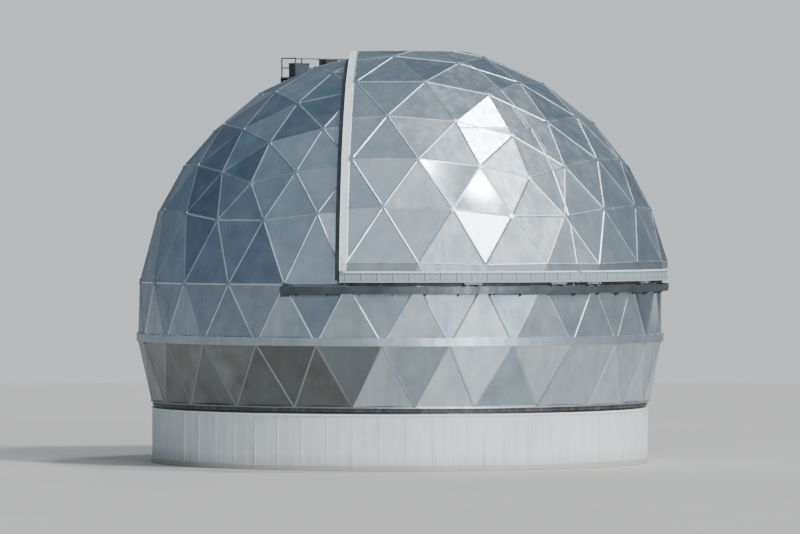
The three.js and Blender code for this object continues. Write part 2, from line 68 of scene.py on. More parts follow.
# Groups of the frame's nodes
SHELL = [
    *(f"lower_band_{i}" for i in range(1, 6)), *(f"dome_sector_{i}" for i in range(1, 5)), "crown_cap"
]
WALLS = [f"ring_wall_{i}" for i in range(1, 5)]
BASES = [f"base_ring_{i}" for i in range(1, 4)]
CABINETS = ("deck_cabinet_left", "deck_cabinet_right")
LEAVES = ("left", "right")
LEAF_SIGNS = tuple(zip(LEAVES, (-1, 1)))
SKINS = ("lower_skin", "upper_skin", "leading_rib")

# Sizes of the frame, in metres and degrees
DOME_RADIUS = 13.0
LEAF_RADIUS = 13.5
CENTRE = Vector((0, 0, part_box("crown_cap")[1].z - DOME_RADIUS))
TOP_LIMIT = CAD_BOX[1].z - 0.001
WALL_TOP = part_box("ring_wall_1")[1].z
WALL_RADIUS = 12.25
TRACK_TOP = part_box("track_ring")[1].z
FOOT_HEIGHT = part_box("base_ring_1")[1].z
TRUCKS = 15
LEDGE_LOW, LEDGE_HIGH = (corner.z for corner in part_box("ledge_ring"))
LEDGE_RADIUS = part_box("ledge_ring")[1].x
RAIL_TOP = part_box("shutter_rail")[1].z
RAIL_UNDER = RAIL_TOP - 0.24
RAIL_RADIUS = 13.3
RAIL_REACH = 66.0
STOP_AZIMUTH = 65.0
BEAM_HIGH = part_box("left_leaf_bottom_beam")[1].z
BEAM_LOW = BEAM_HIGH - 0.56
BEAM_RADIUS = 13.2
FLANGE_RADIUS = 13.25
AXLE_HEIGHT = (BEAM_LOW + RAIL_TOP) / 2
BOGIES = (5.0, 25.0)
TRAILING_AZIMUTH = 43.0
TRAILING_OFFSET = 2.3
DECK_LOW, DECK_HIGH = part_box("crown_deck")
DECK_TOP = DECK_HIGH.z
FLOOR_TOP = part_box("floor_slab")[1].z
CROWN_RAIL_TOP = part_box("crown_rail")[1].z
DOOR_LOW, DOOR_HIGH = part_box("entry_door")
DOOR_FACE = DOOR_LOW.y + 0.06
FRAME_LOW, FRAME_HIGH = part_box("door_frame")
SHEET = 0.012
MERGE = 0.0005
SHARPEST = 1.3

# Panel tones, whose seeds also paint highlights and reflections, and painted shade on the lower panels
# Seeds picked so the panels' random tones also paint highlights and reflections: lighter tones on
# panels that glint, darker on panels that reflect dark surroundings
DOME_TONE_AND_HIGHLIGHT_SEED = 68918
LOW_TONE_AND_HIGHLIGHT_SEED = 55552
LEAF_TONE_AND_HIGHLIGHT_SEEDS = {"left": 3926, "right": 106885}
# Painted shade: dark brown on the lower panels, more of it towards this side, which is turned from the
# sun
SHADED_SIDE = -95.0
SHADE_EDGE = 6.7
SHADE_BLEND = 2.0
SHADE_RAGGED = 1.0

# Stage
CAMERA_AZIMUTH = -40.4
CAMERA_ELEVATION = 0.6
CAMERA_DISTANCE = 330.0
CAMERA_LENS = 300.0
CAMERA_TARGET = Vector((0, 0, 9.6))
BRIGHT_SIDE = (-12.0, 30.0)
OPEN_SIDE = (105.0, 25.0)


def colour_property(name, description, default):
    """A colour that a user may change."""
    return FloatVectorProperty(
        name=name, description=description, default=default, subtype="COLOR", size=3, min=0.0, max=1.0
    )


def length_property(name, description, default):
    """A length that a user may change."""
    return FloatProperty(name=name, description=description, default=default, unit="LENGTH")


class DomeSizes(bpy.types.PropertyGroup):
    """Sizes of the dressing."""

    batten_half: length_property("Batten half width", "Half the cover strip over a panel joint", 0.055)
    batten_rise: length_property("Batten rise", "Height of the battens over the shell", 0.03)
    panel_sink: length_property("Panel sink", "How far a panel lies below its battens", 0.022)
    hub_radius: length_property("Hub radius", "Radius of the cover plate on each joint", 0.14)
    strut_half: length_property("Strut half width", "Half the width of the frame inside", 0.09)
    strut_rise: length_property("Strut rise", "Depth of the frame inside", 0.085)
    wall_joint_step: FloatProperty(
        name="Wall joint step", description="Angle between upright joints of the ring wall",
        default=math.radians(6), subtype="ANGLE",
    )
    bracket_count: IntProperty(name="Rail brackets", description="Brackets under the rail", default=18)


class DomeColours(bpy.types.PropertyGroup):
    """Colours of the finishes."""

    panel_light: colour_property("Panel light", "Clean aluminium", (0.80, 0.875, 0.93))
    panel_dark: colour_property("Panel dark", "Dull aluminium", (0.26, 0.335, 0.405))
    # Painted light: the leaf colours are lighter copies of the panel colours, standing for the sunlit
    # leaf
    sunlit_leaf_light: colour_property("Leaf light", "Clean leaf aluminium", (0.89, 0.935, 0.975))
    sunlit_leaf_dark: colour_property("Leaf dark", "Dull leaf aluminium", (0.48, 0.56, 0.63))
    inside: colour_property("Inside", "Aluminium seen from inside", (0.40, 0.44, 0.48))
    # Painted shade: dark brown mixed into the lower panels on the side turned from the sun
    painted_shade: colour_property("Dust", "Dust on the lower panels", (0.112, 0.104, 0.096))
    batten: colour_property("Batten", "Cover strips and hubs", (0.75, 0.81, 0.86))
    white_paint: colour_property("White paint", "Trim and leaf frames", (0.74, 0.81, 0.86))
    beam_paint: colour_property("Beam paint", "Bottom beams of the leaves", (0.295, 0.365, 0.405))
    # The wall's own off-white, dimmed and cooled a little as painted shade
    wall_paint_with_shade: colour_property("Wall paint", "Ring wall", (0.70, 0.745, 0.775))
    dirt: colour_property("Dirt", "Dust and run-off", (0.33, 0.29, 0.25))
    dark_steel: colour_property("Dark steel", "Deck and wheel gear", (0.045, 0.05, 0.056))
    rail_steel: colour_property("Rail steel", "Rails and cabinets", (0.18, 0.215, 0.23))
    door_paint: colour_property("Door paint", "Entry door", (0.40, 0.44, 0.48))
    concrete: colour_property("Concrete", "Floor", (0.42, 0.41, 0.38))
    seal: colour_property("Seal", "Rubber seals", (0.02, 0.02, 0.022))
    # Painted shadow: the dark flap beside each leaf's trailing edge stands for the shadow of the raised
    # leaf edge
    shadow_flap: colour_property("Apron", "Flap along the leaves' trailing edges", (0.07, 0.082, 0.092))


# Places


def direction(azimuth, elevation):
    """The way from the dome towards an azimuth and elevation in degrees. Azimuth 0 is -Y."""
    a, e = math.radians(azimuth), math.radians(elevation)
    return Vector((math.sin(a) * math.cos(e), -math.cos(a) * math.cos(e), math.sin(e)))


def around(azimuth):
    """Turns a piece modelled at azimuth 0 to another azimuth in degrees."""
    return Matrix.Rotation(math.radians(azimuth), 4, "Z")


def all_round(count, first=0.0):
    """Evenly spaced places round the dome's axis, from a first azimuth."""
    return [around(first + i * 360 / count) for i in range(count)]


def facing_out(azimuth, radius, height, along=0.0):
    """The place of a piece that stands up from z = 0, laid on a round face and turned outwards."""
    spot = Matrix.Translation((along, -radius, height))
    return around(azimuth) @ spot @ Matrix.Rotation(math.pi / 2, 4, "X")


# Modelling


def deselect():
    """Leaves edit mode with nothing selected."""
    if bpy.context.mode != "OBJECT":
        bpy.ops.object.mode_set(mode="OBJECT")
    bpy.ops.object.select_all(action="DESELECT")


def pick(piece):
    """Selects one piece alone and makes it active."""
    deselect()
    piece.select_set(True)
    bpy.context.view_layer.objects.active = piece


def edit(piece, mode="FACE"):
    """Enters edit mode on one piece with nothing selected, and returns its edit mesh."""
    pick(piece)
    bpy.ops.object.mode_set(mode="EDIT")
    bpy.ops.mesh.select_mode(type=mode)
    bpy.ops.mesh.select_all(action="DESELECT")
    return bmesh.from_edit_mesh(piece.data)


def select_faces(piece, test):
    """Enters edit mode on one piece with the faces selected that pass a test."""
    for face in edit(piece).faces:
        face.select_set(test(face))
    bmesh.update_edit_mesh(piece.data)


def reshape(piece, move):
    """Gives each corner of a piece to a function that moves it."""
    for vertex in edit(piece, "VERT").verts:
        move(vertex.co)
    bmesh.update_edit_mesh(piece.data)
    bpy.ops.object.mode_set(mode="OBJECT")


def finish_modifiers(piece):
    """Applies each modifier of a piece."""
    pick(piece)
    for modifier in list(piece.modifiers):
        bpy.ops.object.modifier_apply(modifier=modifier.name)


def rounded(piece, width, segments=2):
    """Bevels the sharp edges of a piece."""
    bevel = piece.modifiers.new("edges", "BEVEL")
    bevel.width = width
    bevel.segments = segments
    bevel.limit_method = "ANGLE"
    finish_modifiers(piece)


def settle(piece):
    """Moves a new piece's place into its mesh."""
    bpy.ops.object.mode_set(mode="OBJECT")
    bpy.ops.object.transform_apply(location=True, rotation=True, scale=True)
    return piece


def linked(name, data):
    """A new object in the scene that shows a mesh, light or camera."""
    thing = bpy.data.objects.new(name, data)
    bpy.context.collection.objects.link(thing)
    return thing


def copied(mesh, place):
    """A new piece with its own copy of a mesh, moved by a matrix."""
    copy = linked("copy", mesh.copy())
    copy.data.transform(place)
    return copy


def joined(pieces):
    """Joins pieces into one, whose object sits at the origin."""
    deselect()
    for piece in pieces:
        piece.select_set(True)
    bpy.context.view_layer.objects.active = pieces[0]
    if len(pieces) > 1:
        bpy.ops.object.join()
    return pieces[0]


def bar(low, high, bevel=0.006, inset=0.0, sink=0.0):
    """A bevelled bar between two corners. An inset also recesses its broad faces."""
    low, high = Vector(low), Vector(high)
    deselect()
    bpy.ops.mesh.primitive_cube_add(size=1, location=(low + high) / 2)
    piece = bpy.context.object
    piece.scale = high - low
    bpy.ops.object.transform_apply(location=True, rotation=True, scale=True)
    if inset:
        broad = 0.9 * max(face.area for face in piece.data.polygons)
        select_faces(piece, lambda face: face.calc_area() > broad)
        bpy.ops.mesh.inset(thickness=inset, depth=-sink, use_individual=True)
        bpy.ops.object.mode_set(mode="OBJECT")
    if bevel:
        rounded(piece, bevel)
    return settle(piece)


def spun(outline, angle, centre, axis, steps, closed=False):
    """An outline of points turned about an axis. Its ends are filled unless it closes on itself."""
    deselect()
    bpy.ops.mesh.primitive_circle_add(vertices=len(outline), radius=1, fill_type="NOTHING")
    piece = bpy.context.object
    mesh = edit(piece, "VERT")
    mesh.verts.ensure_lookup_table()
    for vertex, point in zip(mesh.verts, outline):
        vertex.co = point
    bmesh.update_edit_mesh(piece.data)
    bpy.ops.mesh.select_all(action="SELECT")
    bpy.ops.mesh.spin(steps=steps, angle=angle, center=centre, axis=axis)
    bpy.ops.mesh.select_all(action="SELECT")
    bpy.ops.mesh.remove_doubles(threshold=MERGE)
    if not closed:
        bpy.ops.mesh.fill_holes(sides=len(outline))
        bpy.ops.mesh.select_all(action="SELECT")
    bpy.ops.mesh.normals_make_consistent(inside=False)
    return settle(piece)


def turned(profile, start=0.0, sweep=360.0, steps=120):
    """A profile of (radius, height) points turned round the dome's axis, azimuths in degrees."""
    out = direction(start, 0)
    outline = [(radius * out.x, radius * out.y, height) for radius, height in profile]
    return spun(outline, -math.radians(sweep), (0, 0, 0), (0, 0, 1), steps, sweep == 360)


def swept(profile, azimuth, start, sweep, steps=60):
    """A profile of (radius, offset) points turned up over the dome in a plane at an azimuth.

    The offset is measured to the right of that plane, and the sweep starts at an elevation.
    """
    right = direction(azimuth + 90, 0)
    out = direction(azimuth, start)
    outline = [CENTRE + out * radius + right * offset for radius, offset in profile]
    return spun(outline, math.radians(sweep), CENTRE, right, steps)


def folded_edge(edge, leg, top, under, lip, thick=SHEET):
    """A profile of folded sheet: a level leg that ends in an upright lip at its outer edge."""
    return [
        (edge - leg, under), (edge - thick, under), (edge - thick, lip),
        (edge, lip), (edge, top), (edge - leg, top),
    ]


def gusset(width, inner, outer, bottom, top):
    """An upright bracket at azimuth 0, deep at its inner radius and shallow at its outer one."""
    piece = bar((-width / 2, -outer, bottom), (width / 2, -inner, top), 0)

    def lift_toe(corner):
        if corner.y < -(inner + outer) / 2 and corner.z < (bottom + top) / 2:
            corner.z = top - 0.2 * (top - bottom)

    reshape(piece, lift_toe)
    rounded(piece, 0.004, 1)
    return piece


def cylinder(sides, radius, depth, place=(0, 0, 0)):
    """A new upright cylinder."""
    deselect()
    bpy.ops.mesh.primitive_cylinder_add(vertices=sides, radius=radius, depth=depth, location=place)
    return bpy.context.object


def raised(piece, rim, rise, both=False):
    """Insets and raises the upper end of a piece, or both ends."""
    select_faces(piece, lambda face: face.normal.z > 0.9 or both and face.normal.z < -0.9)
    bpy.ops.mesh.inset(thickness=rim, depth=rise)
    return settle(piece)


def bolt_head(radius, height):
    """A hexagonal bolt head on its washer, standing up from z = 0."""
    head = cylinder(6, radius, height, (0, 0, height / 2))
    select_faces(head, lambda face: face.normal.z < -0.9)
    bpy.ops.mesh.extrude_region_move(TRANSFORM_OT_translate={"value": (0, 0, -0.25 * height)})
    bpy.ops.transform.resize(value=(1.5, 1.5, 1))
    bpy.ops.mesh.extrude_region_move(TRANSFORM_OT_translate={"value": (0, 0, -0.1 * height)})
    return raised(head, 0.2 * radius, 0.15 * height)


def framed(low, high, width, bevel, sill=True):
    """Bars round an upright opening between two corners, with or without one at its sill."""
    low, high = Vector(low), Vector(high)
    bars = [
        bar(low, (low.x + width, high.y, high.z), bevel),
        bar((high.x - width, low.y, low.z), high, bevel),
        bar((low.x, low.y, high.z - width), high, bevel),
    ]
    return bars + [bar(low, (high.x, high.y, low.z + width), bevel)] if sill else bars


def louvre(low, high, slats):
    """A framed opening with sloping slats on a face towards -Y, between two corners."""
    low, high = Vector(low), Vector(high)
    rim, blade = 0.035, 0.006
    pieces = framed(low, high, rim, 0.003)
    step = (high.z - low.z - 2 * rim) / slats
    front = low.y + 0.004

    def slope(corner):
        if corner.z > z + step / 2:
            corner.y = high.y - 0.002 - (blade if corner.y < front + blade / 2 else 0.0)

    for i in range(slats):
        z = low.z + rim + step * i
        pieces.append(bar((low.x + rim, front, z), (high.x - rim, front + blade, z + step), 0))
        reshape(pieces[-1], slope)
    return joined(pieces)


# Facets of the shell


def facet_sheet(nodes, side, radius):
    """The outer (side 1) or inner (side -1) facets of shell nodes, as one sheet of whole facets."""
    sources = [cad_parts[node] for node in nodes]
    copies = [copied(source.data, source.matrix_world) for source in sources]
    for copy in copies:
        copy.data.materials.clear()
    sheet = joined(copies)
    reach = 0.985 * radius
    select_faces(
        sheet, lambda face: face.normal.dot(face.calc_center_median() - CENTRE) * side < reach
    )
    bpy.ops.mesh.delete(type="FACE")
    bpy.ops.mesh.select_all(action="SELECT")
    bpy.ops.mesh.remove_doubles(threshold=2 * MERGE)
    bpy.ops.mesh.dissolve_limited(angle_limit=0.004)
    bpy.ops.object.mode_set(mode="OBJECT")
    return sheet


def joint_places(sheet):
    """Where four or more facet edges meet, with the way out there."""
    mesh = edit(sheet, "VERT")
    lowest = min(v.co.z for v in mesh.verts) + 0.25
    places = [
        (v.co.copy(), v.normal.copy())
        for v in mesh.verts
        if len(v.link_edges) >= 4 and v.co.z > lowest and not v.is_boundary
    ]
    bpy.ops.object.mode_set(mode="OBJECT")
    return places


def panelled(sheet, border, rise, sink, depth):
    """Raises a sheet of facets as battens, sinks a panel into each facet and closes the back.

    A facet too narrow for a panel inside its battens stays whole.
    """
    mesh = edit(sheet)
    for vertex in mesh.verts:
        vertex.co += vertex.normal * (rise * min(vertex.calc_shell_factor(), SHARPEST))
    for face in mesh.faces:
        face.select_set(2 * face.calc_area() / face.calc_perimeter() > 1.6 * border)
    bmesh.update_edit_mesh(sheet.data)
    bpy.ops.mesh.inset(thickness=border, depth=-sink, use_individual=True)
    mesh = bmesh.from_edit_mesh(sheet.data)
    for face in mesh.faces:
        face.material_index = 1 if face.select else 0
    bmesh.update_edit_mesh(sheet.data)
    if TOP_LIMIT < max(v.co.z for v in mesh.verts):
        bpy.ops.mesh.select_all(action="SELECT")
        bpy.ops.mesh.bisect(plane_co=(0, 0, TOP_LIMIT), plane_no=(0, 0, 1), clear_outer=True)
    bpy.ops.object.mode_set(mode="OBJECT")
    wall = sheet.modifiers.new("wall", "SOLIDIFY")
    wall.thickness = depth
    wall.offset = -1
    finish_modifiers(sheet)
    return sheet


def drawn_at(point, seed=""):
    """Random draws that a place on the dome fixes."""
    return random.Random(f"{seed}{point.x:.1f} {point.y:.1f} {point.z:.1f}")


def lay_painted_shade(piece, ragged=0.0):
    """Marks faces below the ledge for painted shade, on the side turned from the sun."""
    layer = piece.data.attributes.new("painted_shade", "FLOAT", "CORNER")
    for face in piece.data.polygons:
        middle = face.center
        away_from_sun = middle.dot(direction(SHADED_SIDE, 0)) + drawn_at(middle).uniform(-ragged, ragged)
        amount = min(max((away_from_sun - SHADE_EDGE) / SHADE_BLEND, 0.0), 1.0)
        for corner in face.loop_indices:
            layer.data[corner].value = amount if middle.z < LEDGE_LOW else 0.0


def tone_panels_with_highlights(sheet, seed, low_seed=None):
    """Gives each panel its own tone and tilt, drawn from its place and read by the panel finish. The
    seeds are picked so that lighter tones fall on panels that catch highlights and darker ones on
    panels that reflect dark surroundings: in part random tone, in part painted highlights and painted
    reflections.

    A low seed is for the rows under the shutter rail.
    """
    layer = sheet.data.color_attributes.new(name="panel", type="FLOAT_COLOR", domain="CORNER")
    for face in sheet.data.polygons:
        low = low_seed and face.center.z < RAIL_TOP
        chance = drawn_at(face.center, f"{low_seed if low else seed} ")
        own = (chance.random(), chance.random(), chance.random(), 1.0)
        for corner in face.loop_indices:
            layer.data[corner].color = own if face.material_index else (0.5, 0.5, 0.5, 1.0)
    # Painted shade below the ledge on the side turned from the sun
    lay_painted_shade(sheet, SHADE_RAGGED)


# Shader node groups


class Tree:
    """A node tree with short calls to add and link its nodes."""

    def __init__(self, tree):
        self.tree = tree

    def feed(self, socket, value):
        """Links an output to an input, or gives the input a value of its own."""
        if hasattr(value, "is_output"):
            self.tree.links.new(value, socket)
        else:
            socket.default_value = value

    def add(self, kind, *inputs, **values):
        """Adds a node. The inputs come in order, and values are its settings or inputs by name."""
        node = self.tree.nodes.new(kind)
        for key, value in values.items():
            if hasattr(node, key):
                setattr(node, key, value)
            else:
                self.feed(node.inputs[key.replace("_", " ").title()], value)
        for socket, value in zip(node.inputs, inputs):
            self.feed(socket, value)
        return node

    def maths(self, operation, first, second=0.5, clamp=False):
        """A Math node on two values or sockets."""
        node = self.add("ShaderNodeMath", first, second, operation=operation, use_clamp=clamp)
        return node.outputs[0]

    def vector(self, operation, first, second):
        """A Vector Math node on two vectors or sockets."""
        return self.add("ShaderNodeVectorMath", first, second, operation=operation).outputs

    def mixed(self, factor, first, second):
        """A colour mix of two colours or sockets."""
        node = self.add("ShaderNodeMix", factor, data_type="RGBA")
        self.feed(node.inputs[6], first)
        self.feed(node.inputs[7], second)
        return node.outputs[2]

    def noise(self, scale, stretch=(1, 1, 1), detail=4.0):
        """Noise on Object coordinates, stretched along the axes."""
        place = self.add("ShaderNodeTexCoord").outputs["Object"]
        stretched = self.add("ShaderNodeMapping", vector=place, scale=stretch).outputs["Vector"]
        noise = self.add(
            "ShaderNodeTexNoise", vector=stretched, scale=scale, detail=detail, roughness=0.55
        )
        return noise.outputs["Fac"]

    def between(self, value, low, high):
        """A value cut to the range between two limits and spread from 0 to 1."""
        return self.add("ShaderNodeMapRange", value, low, high).outputs[0]


SURFACE = [
    ("Colour", "NodeSocketColor"), ("Roughness", "NodeSocketFloat"), ("Height", "NodeSocketFloat")
]


def effect_group(name, inputs, outputs):
    """An empty node group. Its inputs have defaults, whose kind gives the type of the socket."""
    group = bpy.data.node_groups.new(name, "ShaderNodeTree")
    for label, default in inputs.items():
        kind = "NodeSocketFloat" if isinstance(default, float) else "NodeSocketColor"
        socket = group.interface.new_socket(label, in_out="INPUT", socket_type=kind)
        socket.default_value = default
    for label, kind in outputs:
        group.interface.new_socket(label, in_out="OUTPUT", socket_type=kind)
    tree = Tree(group)
    return tree, tree.add("NodeGroupInput").outputs, tree.add("NodeGroupOutput").inputs


def weather_group():
    """Aluminium that dulls in patches, with rain streaks down it, painted shade in dark brown and fine
    scratches.
    """
    tree, given, out = effect_group("dome_weathered_metal", {
        "Light": (0.8, 0.8, 0.8, 1), "Dark": (0.5, 0.5, 0.5, 1), "Tone": 0.5, "Streaks": 0.3,
        "Smooth": 0.25, "Rough": 0.45, "Dust": 0.0, "Dust Colour": (0.2, 0.18, 0.16, 1),
    }, SURFACE)
    patches = tree.between(tree.noise(0.9, detail=5.0), 0.3, 0.7)
    streaks = tree.between(tree.noise(2.6, stretch=(1, 1, 0.12), detail=6.0), 0.42, 0.72)
    scratches = tree.noise(22.0, stretch=(1, 1, 0.6), detail=3.0)
    own = tree.maths("MULTIPLY", given["Tone"], 0.75)
    shade = tree.maths("ADD", own, tree.maths("MULTIPLY", patches, 0.25), clamp=True)
    body = tree.mixed(shade, given["Dark"], given["Light"])
    stain = tree.maths("MULTIPLY", streaks, given["Streaks"])
    worn = tree.mixed(stain, body, given["Dark"])
    uneven = tree.maths("ADD", 0.8, tree.maths("MULTIPLY", patches, 0.2))
    # Painted shade: the Dust input carries the mask's amount, mixing in dark brown and roughening the
    # metal
    painted_shade = tree.maths("MULTIPLY", given["Dust"], uneven)
    tree.feed(out["Colour"], tree.mixed(painted_shade, worn, given["Dust Colour"]))
    span = tree.maths("SUBTRACT", given["Rough"], given["Smooth"])
    dull = tree.maths("ADD", tree.maths("MULTIPLY", patches, 0.4), tree.maths("MULTIPLY", streaks, 0.6))
    dull = tree.maths("MAXIMUM", dull, painted_shade)
    tree.feed(out["Roughness"], tree.maths("ADD", given["Smooth"], tree.maths("MULTIPLY", dull, span)))
    tree.feed(out["Height"], scratches)


def dirt_group():
    """Paint that is dusty in patches, with run-off streaks and dirt that gathers below a height."""
    tree, given, out = effect_group("dome_dusty_paint", {
        "Paint": (0.8, 0.8, 0.8, 1), "Dirt": (0.3, 0.27, 0.24, 1), "Streaks": 0.25,
        "Splash Height": 0.6, "Splash": 0.0, "Grain": 14.0,
    }, SURFACE)
    streaks = tree.between(tree.noise(3.2, stretch=(1, 1, 0.1), detail=6.0), 0.45, 0.75)
    patches = tree.between(tree.noise(0.7, detail=5.0), 0.35, 0.75)
    place = tree.add("ShaderNodeTexCoord").outputs["Object"]
    height = tree.add("ShaderNodeSeparateXYZ", place).outputs["Z"]
    ragged = tree.maths("ADD", height, tree.maths("MULTIPLY", streaks, -0.5))
    low = tree.maths("DIVIDE", ragged, given["Splash Height"])
    splash = tree.maths("SUBTRACT", 1.0, low, clamp=True)
    splash = tree.maths("MULTIPLY", splash, given["Splash"], clamp=True)
    runs = tree.maths("MULTIPLY", streaks, given["Streaks"])
    dusty = tree.maths("MULTIPLY", patches, tree.maths("MULTIPLY", given["Streaks"], 0.5))
    amount = tree.maths("MAXIMUM", tree.maths("ADD", runs, dusty, clamp=True), splash)
    tree.feed(out["Colour"], tree.mixed(amount, given["Paint"], given["Dirt"]))
    tree.feed(out["Roughness"], tree.maths("ADD", 0.45, tree.maths("MULTIPLY", amount, 0.4)))
    fine = tree.add("ShaderNodeTexNoise", vector=place, scale=given["Grain"], detail=3.0)
    tree.feed(out["Height"], fine.outputs["Fac"])


def tilt_group():
    """A normal leaned a little by the panel's own random values."""
    tree, given, out = effect_group(
        "dome_panel_tilt", {"Panel": (0.5, 0.5, 0.5, 1), "Lean": 0.05}, [("Normal", "NodeSocketVector")]
    )
    centred = tree.vector("SUBTRACT", given["Panel"], (0.5, 0.5, 0.5))[0]
    leaned = tree.add("ShaderNodeVectorMath", centred, operation="SCALE")
    tree.feed(leaned.inputs["Scale"], given["Lean"])
    surface = tree.add("ShaderNodeNewGeometry").outputs["Normal"]
    moved = tree.vector("ADD", surface, leaned.outputs[0])[0]
    unit = tree.add("ShaderNodeVectorMath", moved, operation="NORMALIZE")
    tree.feed(out["Normal"], unit.outputs[0])


# Finishes


def new_finish(name, metallic):
    """A material with a Principled shader, and its node tree."""
    material = bpy.data.materials.new(name)
    material.use_nodes = True
    shader = material.node_tree.nodes["Principled BSDF"]
    shader.inputs["Metallic"].default_value = metallic
    return material, Tree(material.node_tree), shader


def surfaced(tree, shader, group, strength, distance, normal=None):
    """Feeds a shader from an effect group, whose height is a bump over the normal if one is given."""
    bump = tree.add("ShaderNodeBump", strength=strength, distance=distance)
    tree.feed(bump.inputs["Height"], group.outputs["Height"])
    if normal:
        tree.feed(bump.inputs["Normal"], normal)
    tree.feed(shader.inputs["Normal"], bump.outputs["Normal"])
    tree.feed(shader.inputs["Base Color"], group.outputs["Colour"])
    tree.feed(shader.inputs["Roughness"], group.outputs["Roughness"])


def metal_finish(
    name, light, dark, smooth, rough, streaks, lean=0.0, metallic=1.0, painted_shade=0.0, painted_shade_colour=None
):
    """Weathered aluminium or steel. A lean tilts each panel by its own values."""
    material, tree, shader = new_finish(name, metallic)
    weather = tree.add(
        "ShaderNodeGroup", node_tree=bpy.data.node_groups["dome_weathered_metal"],
        light=light, dark=dark, streaks=streaks, smooth=smooth, rough=rough,
    )
    # Painted shade: the mask laid below the ledge, scaled by this amount
    if painted_shade:
        laid = tree.add("ShaderNodeAttribute", attribute_name="painted_shade").outputs["Fac"]
        tree.feed(weather.inputs["Dust"], tree.maths("MULTIPLY", laid, painted_shade))
        tree.feed(weather.inputs["Dust Colour"], painted_shade_colour)
    normal = None
    if lean:
        own = tree.add("ShaderNodeAttribute", attribute_name="panel").outputs["Color"]
        tone = tree.add("ShaderNodeSeparateColor", own).outputs["Red"]
        tree.feed(weather.inputs["Tone"], tone)
        tilt = tree.add(
            "ShaderNodeGroup", node_tree=bpy.data.node_groups["dome_panel_tilt"], panel=own, lean=lean
        )
        normal = tilt.outputs["Normal"]
    surfaced(tree, shader, weather, 0.12, 0.01, normal)
    return material


def paint_finish(name, paint, dirt, streaks, splash=0.0, splash_height=0.6, grain=14.0, bump=0.1):
    """Dusty paint or concrete with run-off."""
    material, tree, shader = new_finish(name, 0.0)
    dusty = tree.add(
        "ShaderNodeGroup", node_tree=bpy.data.node_groups["dome_dusty_paint"], paint=paint, dirt=dirt,
        streaks=streaks, splash=splash, splash_height=splash_height, grain=grain,
    )
    surfaced(tree, shader, dusty, bump, 0.02)
    return material


FINISHES = {}


class DOME_OT_finishes(bpy.types.Operator):
    """Makes the finishes and paints the frame's own nodes with them."""

    bl_idname = "dome.finishes"
    bl_label = "Finishes"

    def execute(self, context):
        weather_group()
        dirt_group()
        tilt_group()
        colours = context.scene.dome_colours
        tone = {name: (*getattr(colours, name), 1.0) for name in DomeColours.__annotations__}
        painted_shade = tone["painted_shade"]
        # Panels and battens take painted shade from the mask below the ledge
        metals = {
            "panel": ("panel_aluminium", "panel_light", "panel_dark", 0.24, 0.40, 0.3,
                      {"lean": 0.14, "painted_shade": 0.94, "painted_shade_colour": painted_shade}),
            # lighter copy of the panel aluminium: painted light on the sunlit leaves
            "leaf": ("leaf_aluminium", "sunlit_leaf_light", "sunlit_leaf_dark", 0.22, 0.36, 0.25, {"lean": 0.12}),
            "batten": ("batten_aluminium", "batten", "panel_dark", 0.35, 0.55, 0.3,
                       {"painted_shade": 0.6, "painted_shade_colour": painted_shade}),
            "inside": ("inside_aluminium", "inside", "rail_steel", 0.45, 0.65, 0.2, {}),
            "rail": ("rail_steel", "rail_steel", "dark_steel", 0.35, 0.6, 0.4, {"metallic": 0.8}),
        }
        for finish, (name, light, dark, smooth, rough, streaks, more) in metals.items():
            FINISHES[finish] = metal_finish(
                name, tone[light], tone[dark], smooth, rough, streaks, **more
            )
        paints = {
            "white": ("white_trim", "white_paint", 0.12, {}),
            "beam": ("beam_paint", "beam_paint", 0.2, {}),
            # off-white paint dimmed a little as painted shade
            "wall": ("wall_paint_with_shade", "wall_paint_with_shade", 0.28,
                     {"splash": 0.55, "splash_height": 0.9, "bump": 0.25}),
            "dark": ("dark_steel", "dark_steel", 0.25, {}),
            "door": ("door_paint", "door_paint", 0.2, {"splash": 0.3}),
            "floor": ("floor_concrete", "concrete", 0.35, {"grain": 40.0, "bump": 0.3}),
            "seal": ("rubber_seal", "seal", 0.3, {}),
            # dark sheet for the painted shadow beside the leaves' trailing edges
            "shadow_flap": ("apron_rubber", "shadow_flap", 0.3, {"bump": 0.2}),
        }
        for finish, (name, paint, streaks, more) in paints.items():
            FINISHES[finish] = paint_finish(name, tone[paint], tone["dirt"], streaks, **more)
        nodes = {
            "inside": SHELL + [f"{side}_leaf_{part}" for side in LEAVES for part in SKINS],
            "white": ["slot_jamb_left", "slot_jamb_right", "slot_sill", "slot_head", "door_frame"]
            + [f"{side}_leaf_trailing_rib" for side in LEAVES],
            "beam": [f"{side}_leaf_bottom_beam" for side in LEAVES],
            "wall": WALLS + ["door_lintel"],
            "dark": BASES + ["crown_deck", "deck_railing", "left_leaf_top_arc", "right_leaf_top_arc"],
            "rail": ["track_ring", "shutter_rail", "crown_rail", *CABINETS],
            "batten": ["ledge_ring"],
            "door": ["entry_door"],
            "floor": ["floor_slab"],
        }
        for finish, names in nodes.items():
            for name in names:
                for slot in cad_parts[name].material_slots:
                    slot.material = FINISHES[finish]
        return {"FINISHED"}


def fit(name, model, body, slot, *finishes, places=None):
    """Names a new piece and gives it its finishes and the body it rides on. Its slot is not used.

    The model may be a list of pieces to join. Where places are given, each gets its own copy.
    """
    piece = joined(model) if isinstance(model, list) else model
    if places:
        copies = [copied(piece.data, place) for place in places]
        bpy.data.objects.remove(piece)
        piece = joined(copies)
    piece.name = piece.data.name = name
    for finish in finishes:
        piece.data.materials.append(FINISHES[finish])
    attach(piece, body)


# Pieces


